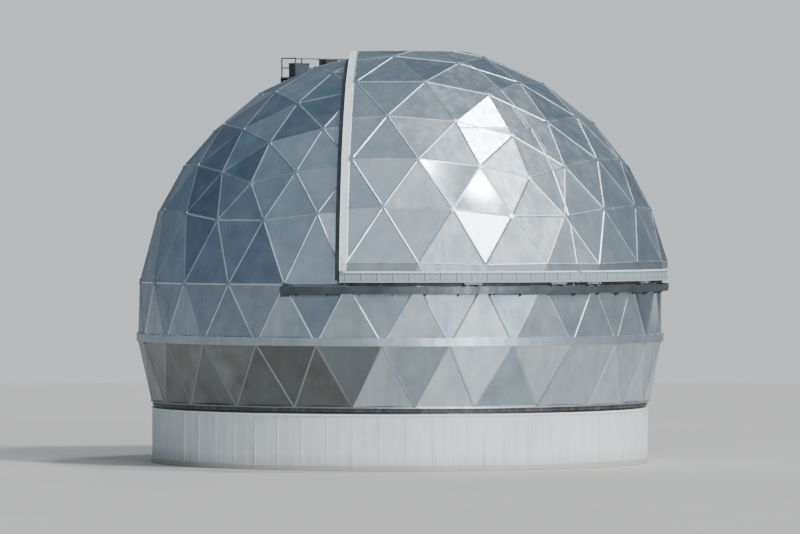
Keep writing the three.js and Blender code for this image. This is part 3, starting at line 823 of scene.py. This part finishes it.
def plate_hubs(name, joints, size, body, slot):
    """A bolted cover plate over each joint of the battens."""
    plate = raised(cylinder(12, size.hub_radius, 0.014), 0.55 * size.hub_radius, 0.008)
    places = []
    for point, outward in joints:
        lifted = point + outward * (size.batten_rise - 0.003)
        if lifted.z + size.hub_radius <= TOP_LIMIT:
            turn = outward.to_track_quat("Z", "Y").to_matrix().to_4x4()
            places.append(Matrix.Translation(lifted) @ turn)
    fit(name, plate, body, slot, "batten", places=places)
    # Painted shade on the hub plates low on the side turned from the sun
    lay_painted_shade(bpy.data.objects[name])


class DOME_OT_panels(bpy.types.Operator):
    """Lays panels and battens over the dome's shell, and its frame inside."""

    bl_idname = "dome.panels"
    bl_label = "Dome panels"

    def execute(self, context):
        size = context.scene.dome_sizes
        outside = facet_sheet(SHELL, 1, DOME_RADIUS)
        joints = joint_places(outside)
        panelled(outside, size.batten_half, size.batten_rise, size.panel_sink, size.batten_rise)
        # Tones that are partly random and partly painted highlights and reflections
        tone_panels_with_highlights(outside, DOME_TONE_AND_HIGHLIGHT_SEED, LOW_TONE_AND_HIGHLIGHT_SEED)
        fit("dome_panels", outside, "dome", "panel_aluminium", "batten", "panel")
        inside = facet_sheet(SHELL, -1, DOME_RADIUS - 0.22)
        panelled(inside, size.strut_half, size.strut_rise, size.strut_rise - 0.01, 0.015)
        fit("dome_inner_frame", inside, "dome", "panel_aluminium", "batten", "inside")
        plate_hubs("dome_hubs", joints, size, "dome", "panel_aluminium")
        return {"FINISHED"}


class DOME_OT_leaf_panels(bpy.types.Operator):
    """Lays panels and battens over each shutter leaf, and a cap on its white rib."""

    bl_idname = "dome.leaf_panels"
    bl_label = "Leaf panels"

    def execute(self, context):
        size = context.scene.dome_sizes
        for side in LEAVES:
            body = f"{side}_leaf"
            skins = [f"{body}_{part}" for part in SKINS]
            outside = facet_sheet(skins, 1, LEAF_RADIUS)
            joints = joint_places(outside)
            panelled(outside, size.batten_half, size.batten_rise, size.panel_sink, size.batten_rise)
            # Tones that are partly random and partly painted highlights and reflections
            tone_panels_with_highlights(outside, LEAF_TONE_AND_HIGHLIGHT_SEEDS[side])
            fit(f"{body}_panels", outside, body, "leaf_aluminium", "batten", "leaf")
            plate_hubs(f"{body}_hubs", joints, size, body, "leaf_aluminium")
            inside = facet_sheet(skins, -1, LEAF_RADIUS - 0.24)
            panelled(inside, size.strut_half, 0.02, 0.015, 0.012)
            fit(f"{body}_inner_frame", inside, body, "leaf_aluminium", "batten", "inside")
            rib = facet_sheet([f"{body}_trailing_rib"], 1, LEAF_RADIUS)
            panelled(rib, 0.05, 0.02, 0.012, 0.02)
            fit(f"{body}_rib_cap", rib, body, "white_trim", "white", "white")
        return {"FINISHED"}


class DOME_OT_shutter_rail(bpy.types.Operator):
    """Hangs a lip and brackets under the shutter rail, and sets stops and bolts on it."""

    bl_idname = "dome.shutter_rail"
    bl_label = "Shutter rail"

    def execute(self, context):
        under, half = RAIL_UNDER, RAIL_REACH - 0.3
        lip = turned(
            folded_edge(RAIL_RADIUS - 0.02, 0.09, under + 0.002, under - SHEET, under - 0.11),
            start=-half, sweep=2 * half, steps=84,
        )
        fit("shutter_rail_lip", lip, "dome", "rail_steel", "rail")
        brackets = context.scene.dome_sizes.bracket_count
        reach = RAIL_REACH - 3
        azimuths = [-reach + 2 * reach * i / brackets for i in range(brackets + 1)]
        bracket = [
            gusset(0.03, 12.74, 13.17, under - 0.34, under + 0.001),
            bar((-0.09, -13.1, under - 0.016), (0.09, -12.8, under + 0.001), 0.003),
        ]
        places = [around(azimuth) for azimuth in azimuths]
        fit("shutter_rail_brackets", bracket, "dome", "rail_steel", "rail", places=places)
        stop = [
            bar((-0.12, -13.2, RAIL_TOP), (0.12, -13.0, RAIL_TOP + 0.15), 0.012),
            bar((-0.16, -13.23, RAIL_TOP - 0.002), (0.16, -12.995, RAIL_TOP + 0.02), 0.004),
        ]
        places = [around(-STOP_AZIMUTH), around(STOP_AZIMUTH)]
        fit("shutter_rail_stops", stop, "dome", "rail_steel", "rail", places=places)
        pads = []
        for side in (-1, 1):
            near, far = sorted((0.0, -0.035 * side))
            pads.append(bar((near, -13.16, RAIL_TOP + 0.03), (far, -13.01, RAIL_TOP + 0.13), 0.012))
            pads[-1].data.transform(around(side * (STOP_AZIMUTH - 0.67)))
        fit("stop_pads", pads, "dome", "rail_steel", "seal")
        over = Matrix.Rotation(math.pi, 4, "X")
        places = [
            around(azimuth) @ Matrix.Translation((x, -12.98, under - 0.018)) @ over
            for azimuth in azimuths for x in (-0.06, 0.06)
        ]
        bolt = bolt_head(0.018, 0.014)
        fit("shutter_rail_bolts", bolt, "dome", "rail_steel", "rail", places=places)
        return {"FINISHED"}


class DOME_OT_ledge(bpy.types.Operator):
    """Gives the ledge a drip edge, cover straps on its joints and a dark strip under it that paints the
    shadow below the ledge.
    """

    bl_idname = "dome.ledge"
    bl_label = "Ledge"

    def execute(self, context):
        low, top = LEDGE_LOW, LEDGE_HIGH
        edge = turned(folded_edge(LEDGE_RADIUS - SHEET, 0.07, low + 0.003, low - 0.003, low - 0.06))
        fit("ledge_drip_edge", edge, "dome", "panel_aluminium", "batten")
        # Painted shadow: a near-black strip just under the ledge stands for the shadow the ledge casts
        seal = turned([
            (12.78, low - 0.05), (12.95, low - 0.035), (12.965, low + 0.002), (12.78, low + 0.002),
        ])
        fit("ledge_shadow_strip", seal, "dome", "panel_aluminium", "seal")
        strap = bar((-0.06, -13.03, top - 0.002), (0.06, -12.8, top + 0.012), 0.004)
        places = all_round(50, 3.6)
        fit("ledge_straps", strap, "dome", "panel_aluminium", "batten", places=places)
        return {"FINISHED"}


class DOME_OT_leaf_beams(bpy.types.Operator):
    """Builds up the leaves' bottom beams with flanges, stiffeners, bolts and axle caps."""

    bl_idname = "dome.leaf_beams"
    bl_label = "Leaf beams"

    def execute(self, context):
        web, face = FLANGE_RADIUS - 0.09, FLANGE_RADIUS - SHEET
        profile = folded_edge(FLANGE_RADIUS, 0.09, -SHEET, -0.045, -0.085)
        for side, sign in LEAF_SIGNS:
            body = f"{side}_leaf"
            reach = {"start": 0.6 if sign > 0 else -52.4, "sweep": 51.8, "steps": 36}
            top = turned([(r, BEAM_HIGH + z) for r, z in profile], **reach)
            fit(f"{body}_flanges", top, body, "white_trim", "white")
            foot = turned([(r, BEAM_LOW - z) for r, z in profile], **reach)
            fit(f"{body}_foot_flange", foot, body, "white_trim", "beam")
            azimuths = [sign * (2.2 + 3.3 * i) for i in range(16)]
            rib = bar((-0.012, -face, BEAM_LOW + 0.04), (0.012, -web, BEAM_HIGH - 0.04), 0.003)
            places = [around(azimuth) for azimuth in azimuths]
            fit(f"{body}_stiffeners", rib, body, "white_trim", "beam", places=places)
            places = [
                facing_out(azimuth + sign * shift, BEAM_RADIUS, z)
                for azimuth in azimuths[:-1] for shift in (1.1, 2.2)
                for z in (BEAM_LOW + 0.18, BEAM_HIGH - 0.18)
            ]
            bolt = bolt_head(0.016, 0.012)
            fit(f"{body}_bolts", bolt, body, "white_trim", "rail", places=places)
            places = [
                facing_out(sign * azimuth, 13.168, AXLE_HEIGHT, x)
                for azimuth in BOGIES for x in (-0.3, 0.3)
            ]
            axle = bolt_head(0.05, 0.022)
            fit(f"{body}_axles", axle, body, "white_trim", "rail", places=places)
        return {"FINISHED"}


class DOME_OT_leaf_seals(bpy.types.Operator):
    """Hangs rubber seals at the leaves' seam and bottom, and a dark flap along their trailing edges
    that paints the shadow the raised leaf edge casts on the dome.
    """

    bl_idname = "dome.leaf_seals"
    bl_label = "Leaf seals"

    def execute(self, context):
        seam_in, seam_out = 13.27, 13.33
        seam_low, seam_high = 10.5, math.degrees(math.asin(12.98 / seam_out))
        flap_low, flap_high = 8.4, 78.0
        inner, tip = (math.sqrt(r**2 - TRAILING_OFFSET**2) for r in (13.24, 13.105))
        for side, sign in LEAF_SIGNS:
            body = f"{side}_leaf"
            near, far = sign * 0.0006, sign * 0.006
            seam = swept(
                [(seam_in, near), (seam_out, near), (seam_out, far), (seam_in, far)],
                0, seam_low, seam_high - seam_low,
            )
            profile = [
                (inner, -0.05), (inner + 0.015, -0.04),
                (tip - 0.035, 0.225), (tip - 0.045, 0.23), (tip - 0.058, 0.22),
            ]
            # Painted shadow: a dark sheet over the dome beside the trailing edge, where the raised leaf
            # edge casts its shadow
            shadow_flap = swept(
                [(r, sign * (TRAILING_OFFSET + out)) for r, out in profile],
                sign * TRAILING_AZIMUTH, flap_low, flap_high - flap_low,
            )
            fit(f"{body}_apron", shadow_flap, body, "dark_steel", "shadow_flap")
            brush = turned([
                (12.958, RAIL_TOP + 0.03), (12.972, RAIL_TOP + 0.03),
                (12.98, BEAM_LOW + 0.02), (12.955, BEAM_LOW + 0.02),
            ], start=0.4 if sign > 0 else -52.0, sweep=51.6, steps=36)
            fit(f"{body}_seals", [seam, brush], body, "dark_steel", "seal")
        return {"FINISHED"}


class DOME_OT_slot_trim(bpy.types.Operator):
    """Frames the open slot with raised lips, a ribbed sill with a tread, and a cover on its head."""

    bl_idname = "dome.slot_trim"
    bl_label = "Slot trim"

    def execute(self, context):
        jambs = ["slot_jamb_left", "slot_jamb_right"]
        lips = facet_sheet(jambs, 1, DOME_RADIUS)
        panelled(lips, 0.06, 0.022, 0.014, 0.02)
        fit("slot_jamb_lips", lips, "dome", "white_trim", "white", "white")
        backs = facet_sheet(jambs, -1, 12.45)
        panelled(backs, 0.05, 0.03, 0.02, 0.015)
        fit("slot_jamb_backs", backs, "dome", "white_trim", "white", "inside")
        low, top = (corner.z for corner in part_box("slot_sill"))
        tread = turned([
            (12.37, top - 0.002), (12.74, top - 0.002), (12.74, top + 0.012),
            (12.72, top + 0.018), (12.39, top + 0.018), (12.37, top + 0.012),
        ], start=-34.0, sweep=68.0, steps=34)
        fit("slot_sill_tread", tread, "dome", "white_trim", "rail")
        rib = bar((-0.012, -12.36, low + 0.03), (0.012, -12.28, top - 0.03), 0.003)
        places = [around(-33 + 3.3 * i) for i in range(21)]
        fit("slot_sill_ribs", rib, "dome", "white_trim", "white", places=places)
        first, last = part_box("slot_head")
        cover = bar(
            (first.x + 0.3, first.y - 0.012, first.z + 0.05),
            (last.x - 0.3, first.y + 0.006, last.z - 0.09), 0.003, inset=0.05, sink=0.006,
        )
        fit("slot_head_cover", cover, "dome", "white_trim", "white")
        return {"FINISHED"}


class DOME_OT_wall_trim(bpy.types.Operator):
    """Puts a coping, a plinth, joint covers and two louvres on the ring wall."""

    bl_idname = "dome.wall_trim"
    bl_label = "Wall trim"

    def execute(self, context):
        wall, top = WALL_RADIUS, WALL_TOP
        coping = turned([
            (12.165, top - 0.002), (wall + 0.03, top - 0.002), (wall + 0.03, top - 0.075),
            (wall + 0.042, top - 0.08), (wall + 0.042, top + 0.004), (wall + 0.03, top + 0.012),
            (12.175, top + 0.018), (12.165, top + 0.014),
        ])
        fit("wall_coping", coping, "building", "white_trim", "white")
        plinth = turned([
            (wall - 0.02, 0.0), (wall + 0.05, 0.0), (wall + 0.05, 0.22),
            (wall + 0.015, 0.25), (wall - 0.02, 0.25),
        ], start=183.1, sweep=353.8, steps=118)
        fit("wall_plinth", plinth, "building", "floor_concrete", "floor")
        places = all_round(round(2 * math.pi / context.scene.dome_sizes.wall_joint_step), 183)
        cover = bar((-0.032, -wall - 0.012, 0.27), (0.032, -wall + 0.03, top - 0.085), 0.004)
        fit("wall_joint_covers", cover, "building", "white_wall", "wall", places=places)
        vent = louvre((-0.45, -wall - 0.045, 1.55), (0.45, -wall + 0.02, 2.25), 9)
        places = [around(156), around(204)]
        fit("wall_louvres", vent, "building", "white_trim", "white", places=places)
        return {"FINISHED"}


class DOME_OT_foot(bpy.types.Operator):
    """Adds the dome's foot angle, its weather skirt and the side plates of its wheel trucks."""

    bl_idname = "dome.foot"
    bl_label = "Dome foot"

    def execute(self, context):
        foot = FOOT_HEIGHT
        angle = turned(folded_edge(12.335, 0.145, foot - 0.03, foot - 0.008, foot + 0.035, 0.017))
        # Painted shade on the foot angle, on the side turned from the sun
        lay_painted_shade(angle)
        fit("dome_foot_angle", angle, "dome", "panel_aluminium", "batten")
        skirt = turned([
            (12.222, foot - 0.21), (12.234, foot - 0.21),
            (12.236, foot - 0.028), (12.216, foot - 0.028),
        ])
        fit("dome_foot_skirt", skirt, "dome", "dark_steel", "seal")
        trucks = all_round(TRUCKS, 180 / TRUCKS)
        sides = ((-12.146, -12.154, math.pi / 2), (-11.964, -11.956, -math.pi / 2))
        plates = [
            bar((-0.43, y - 0.006, TRACK_TOP + 0.02), (0.43, y + 0.006, foot - 0.09), 0.003,
                inset=0.02, sink=0.003)
            for y, _, _ in sides
        ]
        fit("truck_side_plates", plates, "dome", "dark_steel", "dark", places=trucks)
        places = [
            truck @ Matrix.Translation((x, y, TRACK_TOP + 0.06)) @ Matrix.Rotation(turn, 4, "X")
            for truck in trucks for x in (-0.26, 0.26) for _, y, turn in sides
        ]
        fit("truck_axles", bolt_head(0.03, 0.014), "dome", "dark_steel", "rail", places=places)
        return {"FINISHED"}


class DOME_OT_deck(bpy.types.Operator):
    """Lays the crown deck's grating and toe boards, and fits out its cabinets."""

    bl_idname = "dome.deck"
    bl_label = "Crown deck"

    def execute(self, context):
        left, right, back, top = DECK_LOW.x, DECK_HIGH.x, DECK_HIGH.y, DECK_TOP
        reach = math.sqrt(DOME_RADIUS**2 - (top - CENTRE.z) ** 2)
        spaces = 52
        bars = []
        for i in range(1, spaces):
            x = left + (right - left) * i / spaces
            front = math.sqrt(max(reach**2 - x**2, 0.0)) + 0.02
            bars.append(bar((x - 0.006, front, top), (x + 0.006, back - 0.02, top + 0.025), 0))
        for y in (5.75, 5.95, 6.1):
            bars.append(bar((left + 0.03, y - 0.006, top), (right - 0.03, y + 0.006, top + 0.02), 0))
        fit("deck_grating", bars, "dome", "dark_steel", "dark")
        low, high, front = top - 0.07, top + 0.1, 4.98
        boards = [
            bar((left, back - 0.02, low), (right, back, high), 0.003),
            bar((left, front, low), (left + SHEET, back, high), 0.003),
            bar((right - SHEET, front, low), (right, back, high), 0.003),
        ]
        fit("deck_toe_boards", boards, "dome", "dark_steel", "dark")
        for name in CABINETS:
            low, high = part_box(name)
            left, right, middle = low.x, high.x, (low.y + high.y) / 2
            eaves = Vector((0.03, 0.03, 0.022))
            doors = [bar((left - 0.03, low.y - 0.03, high.z - 0.012), high + eaves, 0.008)]
            for y in (high.y - 0.002, low.y - 0.018):
                doors.append(
                    bar((left + 0.04, y, low.z + 0.07), (right - 0.04, y + 0.02, high.z - 0.05), 0.003,
                        inset=0.05, sink=0.006)
                )
            edge, grip = right - 0.12, high.y + 0.012
            doors.append(
                bar((edge, grip, low.z + 0.38), (edge + 0.025, grip + 0.038, low.z + 0.52), 0.006)
            )
            fit(f"{name}_doors", doors, "dome", "rail_steel", "rail")
            vent = louvre((-0.17, -0.03, low.z + 0.2), (0.17, 0.004, low.z + 0.6), 6)
            places = [
                Matrix.Translation((x, middle, 0)) @ around(turn)
                for x, turn in ((left, -90), (right, 90))
            ]
            fit(f"{name}_louvres", vent, "dome", "rail_steel", "dark", places=places)
        return {"FINISHED"}


class DOME_OT_crown(bpy.types.Operator):
    """Puts a hatch on the crown cap, and bolts and joint plates on the crown rail."""

    bl_idname = "dome.crown"
    bl_label = "Crown"

    def execute(self, context):
        cap, rail = CENTRE.z + DOME_RADIUS, CROWN_RAIL_TOP
        hatch = turned([
            (0.0, cap - 0.02), (0.56, cap - 0.04), (0.56, cap + 0.012),
            (0.53, cap + 0.02), (0.3, cap + 0.022), (0.0, cap + 0.026),
        ], steps=32)
        fit("crown_hatch", hatch, "dome", "panel_aluminium", "batten")
        spot = Matrix.Translation((0, -2.075, rail + 0.004))
        places = [place @ spot for place in all_round(48, 3.75)]
        bolt = bolt_head(0.02, 0.014)
        fit("crown_rail_bolts", bolt, "dome", "rail_steel", "rail", places=places)
        plate = bar((-0.16, -1.96, rail - 0.11), (0.16, -1.93, rail - 0.02), 0.004)
        fit("crown_rail_joints", plate, "dome", "rail_steel", "rail", places=all_round(8))
        return {"FINISHED"}


class DOME_OT_entry(bpy.types.Operator):
    """Fits out the entry door with panels, hinges, a kick plate, trim and a lamp over it."""

    bl_idname = "dome.entry"
    bl_label = "Entry door"

    def execute(self, context):
        half, face, wall = DOOR_HIGH.x - 0.09, DOOR_FACE, WALL_RADIUS
        panels = [
            bar((-half, face - 0.006, low), (half, face + 0.014, high), 0.003, inset=0.05, sink=0.007)
            for low, high in ((1.2, 2.04), (0.32, 0.96))
        ]
        fit("door_panels", panels, "building", "door_paint", "door")
        fittings = [bar((-half - 0.04, face - 0.001, 0.06), (half + 0.04, face + 0.006, 0.27), 0.002)]
        edge = DOOR_LOW.x
        for z in (0.3, 1.1, 1.9):
            barrel = cylinder(16, 0.016, 0.12, (edge + 0.008, face + 0.012, z))
            fittings.append(raised(barrel, 0.004, 0.003, both=True))
            low, high = (edge + 0.01, face - 0.001, z - 0.05), (edge + 0.09, face + 0.005, z + 0.05)
            fittings.append(bar(low, high, 0.001))
        fit("door_fittings", fittings, "building", "rail_steel", "rail")
        lamp = [
            bar((-0.13, wall - 0.05, 2.36), (0.13, wall + 0.09, 2.5), 0.02, inset=0.02),
            bar((-0.17, wall - 0.05, 2.5), (0.17, wall + 0.14, 2.515), 0.004),
        ]
        fit("door_lamp", lamp, "building", "white_trim", "white")
        left, right, top = FRAME_LOW.x - 0.05, FRAME_HIGH.x + 0.05, FRAME_HIGH.z + 0.05
        back, front = FRAME_HIGH.y - 0.004, FRAME_HIGH.y + 0.02
        trim = framed((left, back, 0.0), (right, front, top), 0.08, 0.006, sill=False)
        fit("door_trim", trim, "building", "white_trim", "white")
        return {"FINISHED"}


class DOME_OT_floor_joints(bpy.types.Operator):
    """Lays joint strips in the floor slab, which shows when the slot is open."""

    bl_idname = "dome.floor_joints"
    bl_label = "Floor joints"

    def execute(self, context):
        low, high, half = FLOOR_TOP - 0.004, FLOOR_TOP + 0.003, 0.012
        strips = [
            turned([(r - half, low), (r + half, low), (r + half, high), (r - half, high)], steps=90)
            for r in (4.0, 8.0)
        ]
        spoke = bar((-half, -11.8, low), (half, -4.0, high), 0.001)
        strips += [copied(spoke.data, place) for place in all_round(12)]
        bpy.data.objects.remove(spoke)
        fit("floor_joints", strips, "building", "dark_steel", "seal")
        return {"FINISHED"}


# Stage


class DOME_OT_stage(bpy.types.Operator):
    """Sets the floor, the lights and the camera at the photograph's viewing angle."""

    bl_idname = "dome.stage"
    bl_label = "Stage"

    def execute(self, context):
        deselect()
        bpy.ops.mesh.primitive_circle_add(
            vertices=96, radius=140, fill_type="NGON", location=(0, 0, -0.012)
        )
        floor = bpy.context.object
        floor.name = "studio_floor"
        material, tree, shader = new_finish("studio_floor", 0.0)
        cloud = tree.between(tree.noise(0.05), 0.3, 0.7)
        tone = tree.mixed(cloud, (0.43, 0.425, 0.41, 1), (0.46, 0.455, 0.44, 1))
        tree.feed(shader.inputs["Base Color"], tone)
        shader.inputs["Roughness"].default_value = 0.9
        floor.data.materials.append(material)
        set_world(context)
        set_sun("sun_key", 3.0, 9.0, 10.0, 42.0, (1.0, 0.985, 0.96))
        set_sun("sun_low", 1.5, 12.0, -11.0, 8.0, (0.97, 0.985, 1.0))
        set_sun("sun_high", 1.2, 8.0, 62.0, 65.0, (1.0, 0.98, 0.95))
        set_sun("sun_back", 0.6, 50.0, 140.0, 22.0, (1.0, 1.0, 1.0), mirrored=False)
        set_camera(context)
        return {"FINISHED"}


def set_camera(context):
    """The camera stands almost level with the dome and looks at its left front."""
    data = bpy.data.cameras.new("camera")
    data.lens = CAMERA_LENS
    data.clip_end = 3000
    camera = linked("camera", data)
    away = direction(CAMERA_AZIMUTH, CAMERA_ELEVATION)
    camera.location = CAMERA_TARGET + away * CAMERA_DISTANCE
    camera.rotation_euler = (-away).to_track_quat("-Z", "Y").to_euler()
    context.scene.camera = camera


def set_sun(name, strength, angle, azimuth, elevation, colour, mirrored=True):
    """A soft distant light from an azimuth and elevation in degrees, which gloss may leave out."""
    data = bpy.data.lights.new(name, "SUN")
    data.energy = strength
    data.angle = math.radians(angle)
    data.color = colour
    lamp = linked(name, data)
    lamp.rotation_euler = direction(azimuth, elevation).to_track_quat("Z", "Y").to_euler()
    lamp.visible_glossy = mirrored


def set_world(context):
    """A soft studio surround: brightest near the key light, slate blue away from it."""
    world = bpy.data.worlds.new("studio")
    context.scene.world = world
    world.use_nodes = True
    tree = Tree(world.node_tree)
    place = tree.add("ShaderNodeTexCoord").outputs["Generated"]
    height = tree.add("ShaderNodeSeparateXYZ", place).outputs["Z"]
    toward = tree.vector("DOT_PRODUCT", place, direction(*BRIGHT_SIDE))["Value"]
    across = tree.vector("DOT_PRODUCT", place, direction(*OPEN_SIDE))["Value"]
    share = tree.maths("ADD", tree.maths("MULTIPLY", toward, 0.5), 0.5, clamp=True)
    near = tree.maths("POWER", share, 3.5)
    open_share = tree.between(across, -1.0, 1.0)
    surround = tree.mixed(open_share, (0.06, 0.098, 0.148, 1), (0.15, 0.197, 0.24, 1))
    surround = tree.mixed(near, surround, (0.81, 0.90, 0.97, 1))
    low = tree.maths("MULTIPLY", tree.between(height, 0.24, 0.06), 0.6)
    surround = tree.mixed(low, surround, (0.18, 0.185, 0.215, 1))
    camera_ray = tree.add("ShaderNodeLightPath").outputs["Is Camera Ray"]
    seen = tree.mixed(camera_ray, surround, (0.70, 0.74, 0.78, 1))
    tree.feed(world.node_tree.nodes["Background"].inputs["Color"], seen)


OPERATORS = (
    DOME_OT_finishes, DOME_OT_panels, DOME_OT_leaf_panels, DOME_OT_shutter_rail, DOME_OT_ledge,
    DOME_OT_leaf_beams, DOME_OT_leaf_seals, DOME_OT_slot_trim, DOME_OT_wall_trim, DOME_OT_foot,
    DOME_OT_deck, DOME_OT_crown, DOME_OT_entry, DOME_OT_floor_joints, DOME_OT_stage,
)


class VIEW3D_PT_dome(bpy.types.Panel):
    """Lists the dome's dressing."""

    bl_label = "Dome"
    bl_idname = "VIEW3D_PT_dome"
    bl_space_type = "VIEW_3D"
    bl_region_type = "UI"
    bl_category = "Dome"

    def draw(self, context):
        for kind in OPERATORS:
            self.layout.operator(kind.bl_idname, text=kind.bl_label)


CLASSES = (DomeSizes, DomeColours, *OPERATORS, VIEW3D_PT_dome)


def register():
    for kind in CLASSES:
        bpy.utils.register_class(kind)
    bpy.types.Scene.dome_sizes = PointerProperty(type=DomeSizes)
    bpy.types.Scene.dome_colours = PointerProperty(type=DomeColours)


def unregister():
    del bpy.types.Scene.dome_colours
    del bpy.types.Scene.dome_sizes
    for kind in reversed(CLASSES):
        bpy.utils.unregister_class(kind)


def main():
    register()
    for kind in OPERATORS:
        group, name = kind.bl_idname.split(".")
        getattr(getattr(bpy.ops, group), name)()


if __name__ == "__main__":
    main()
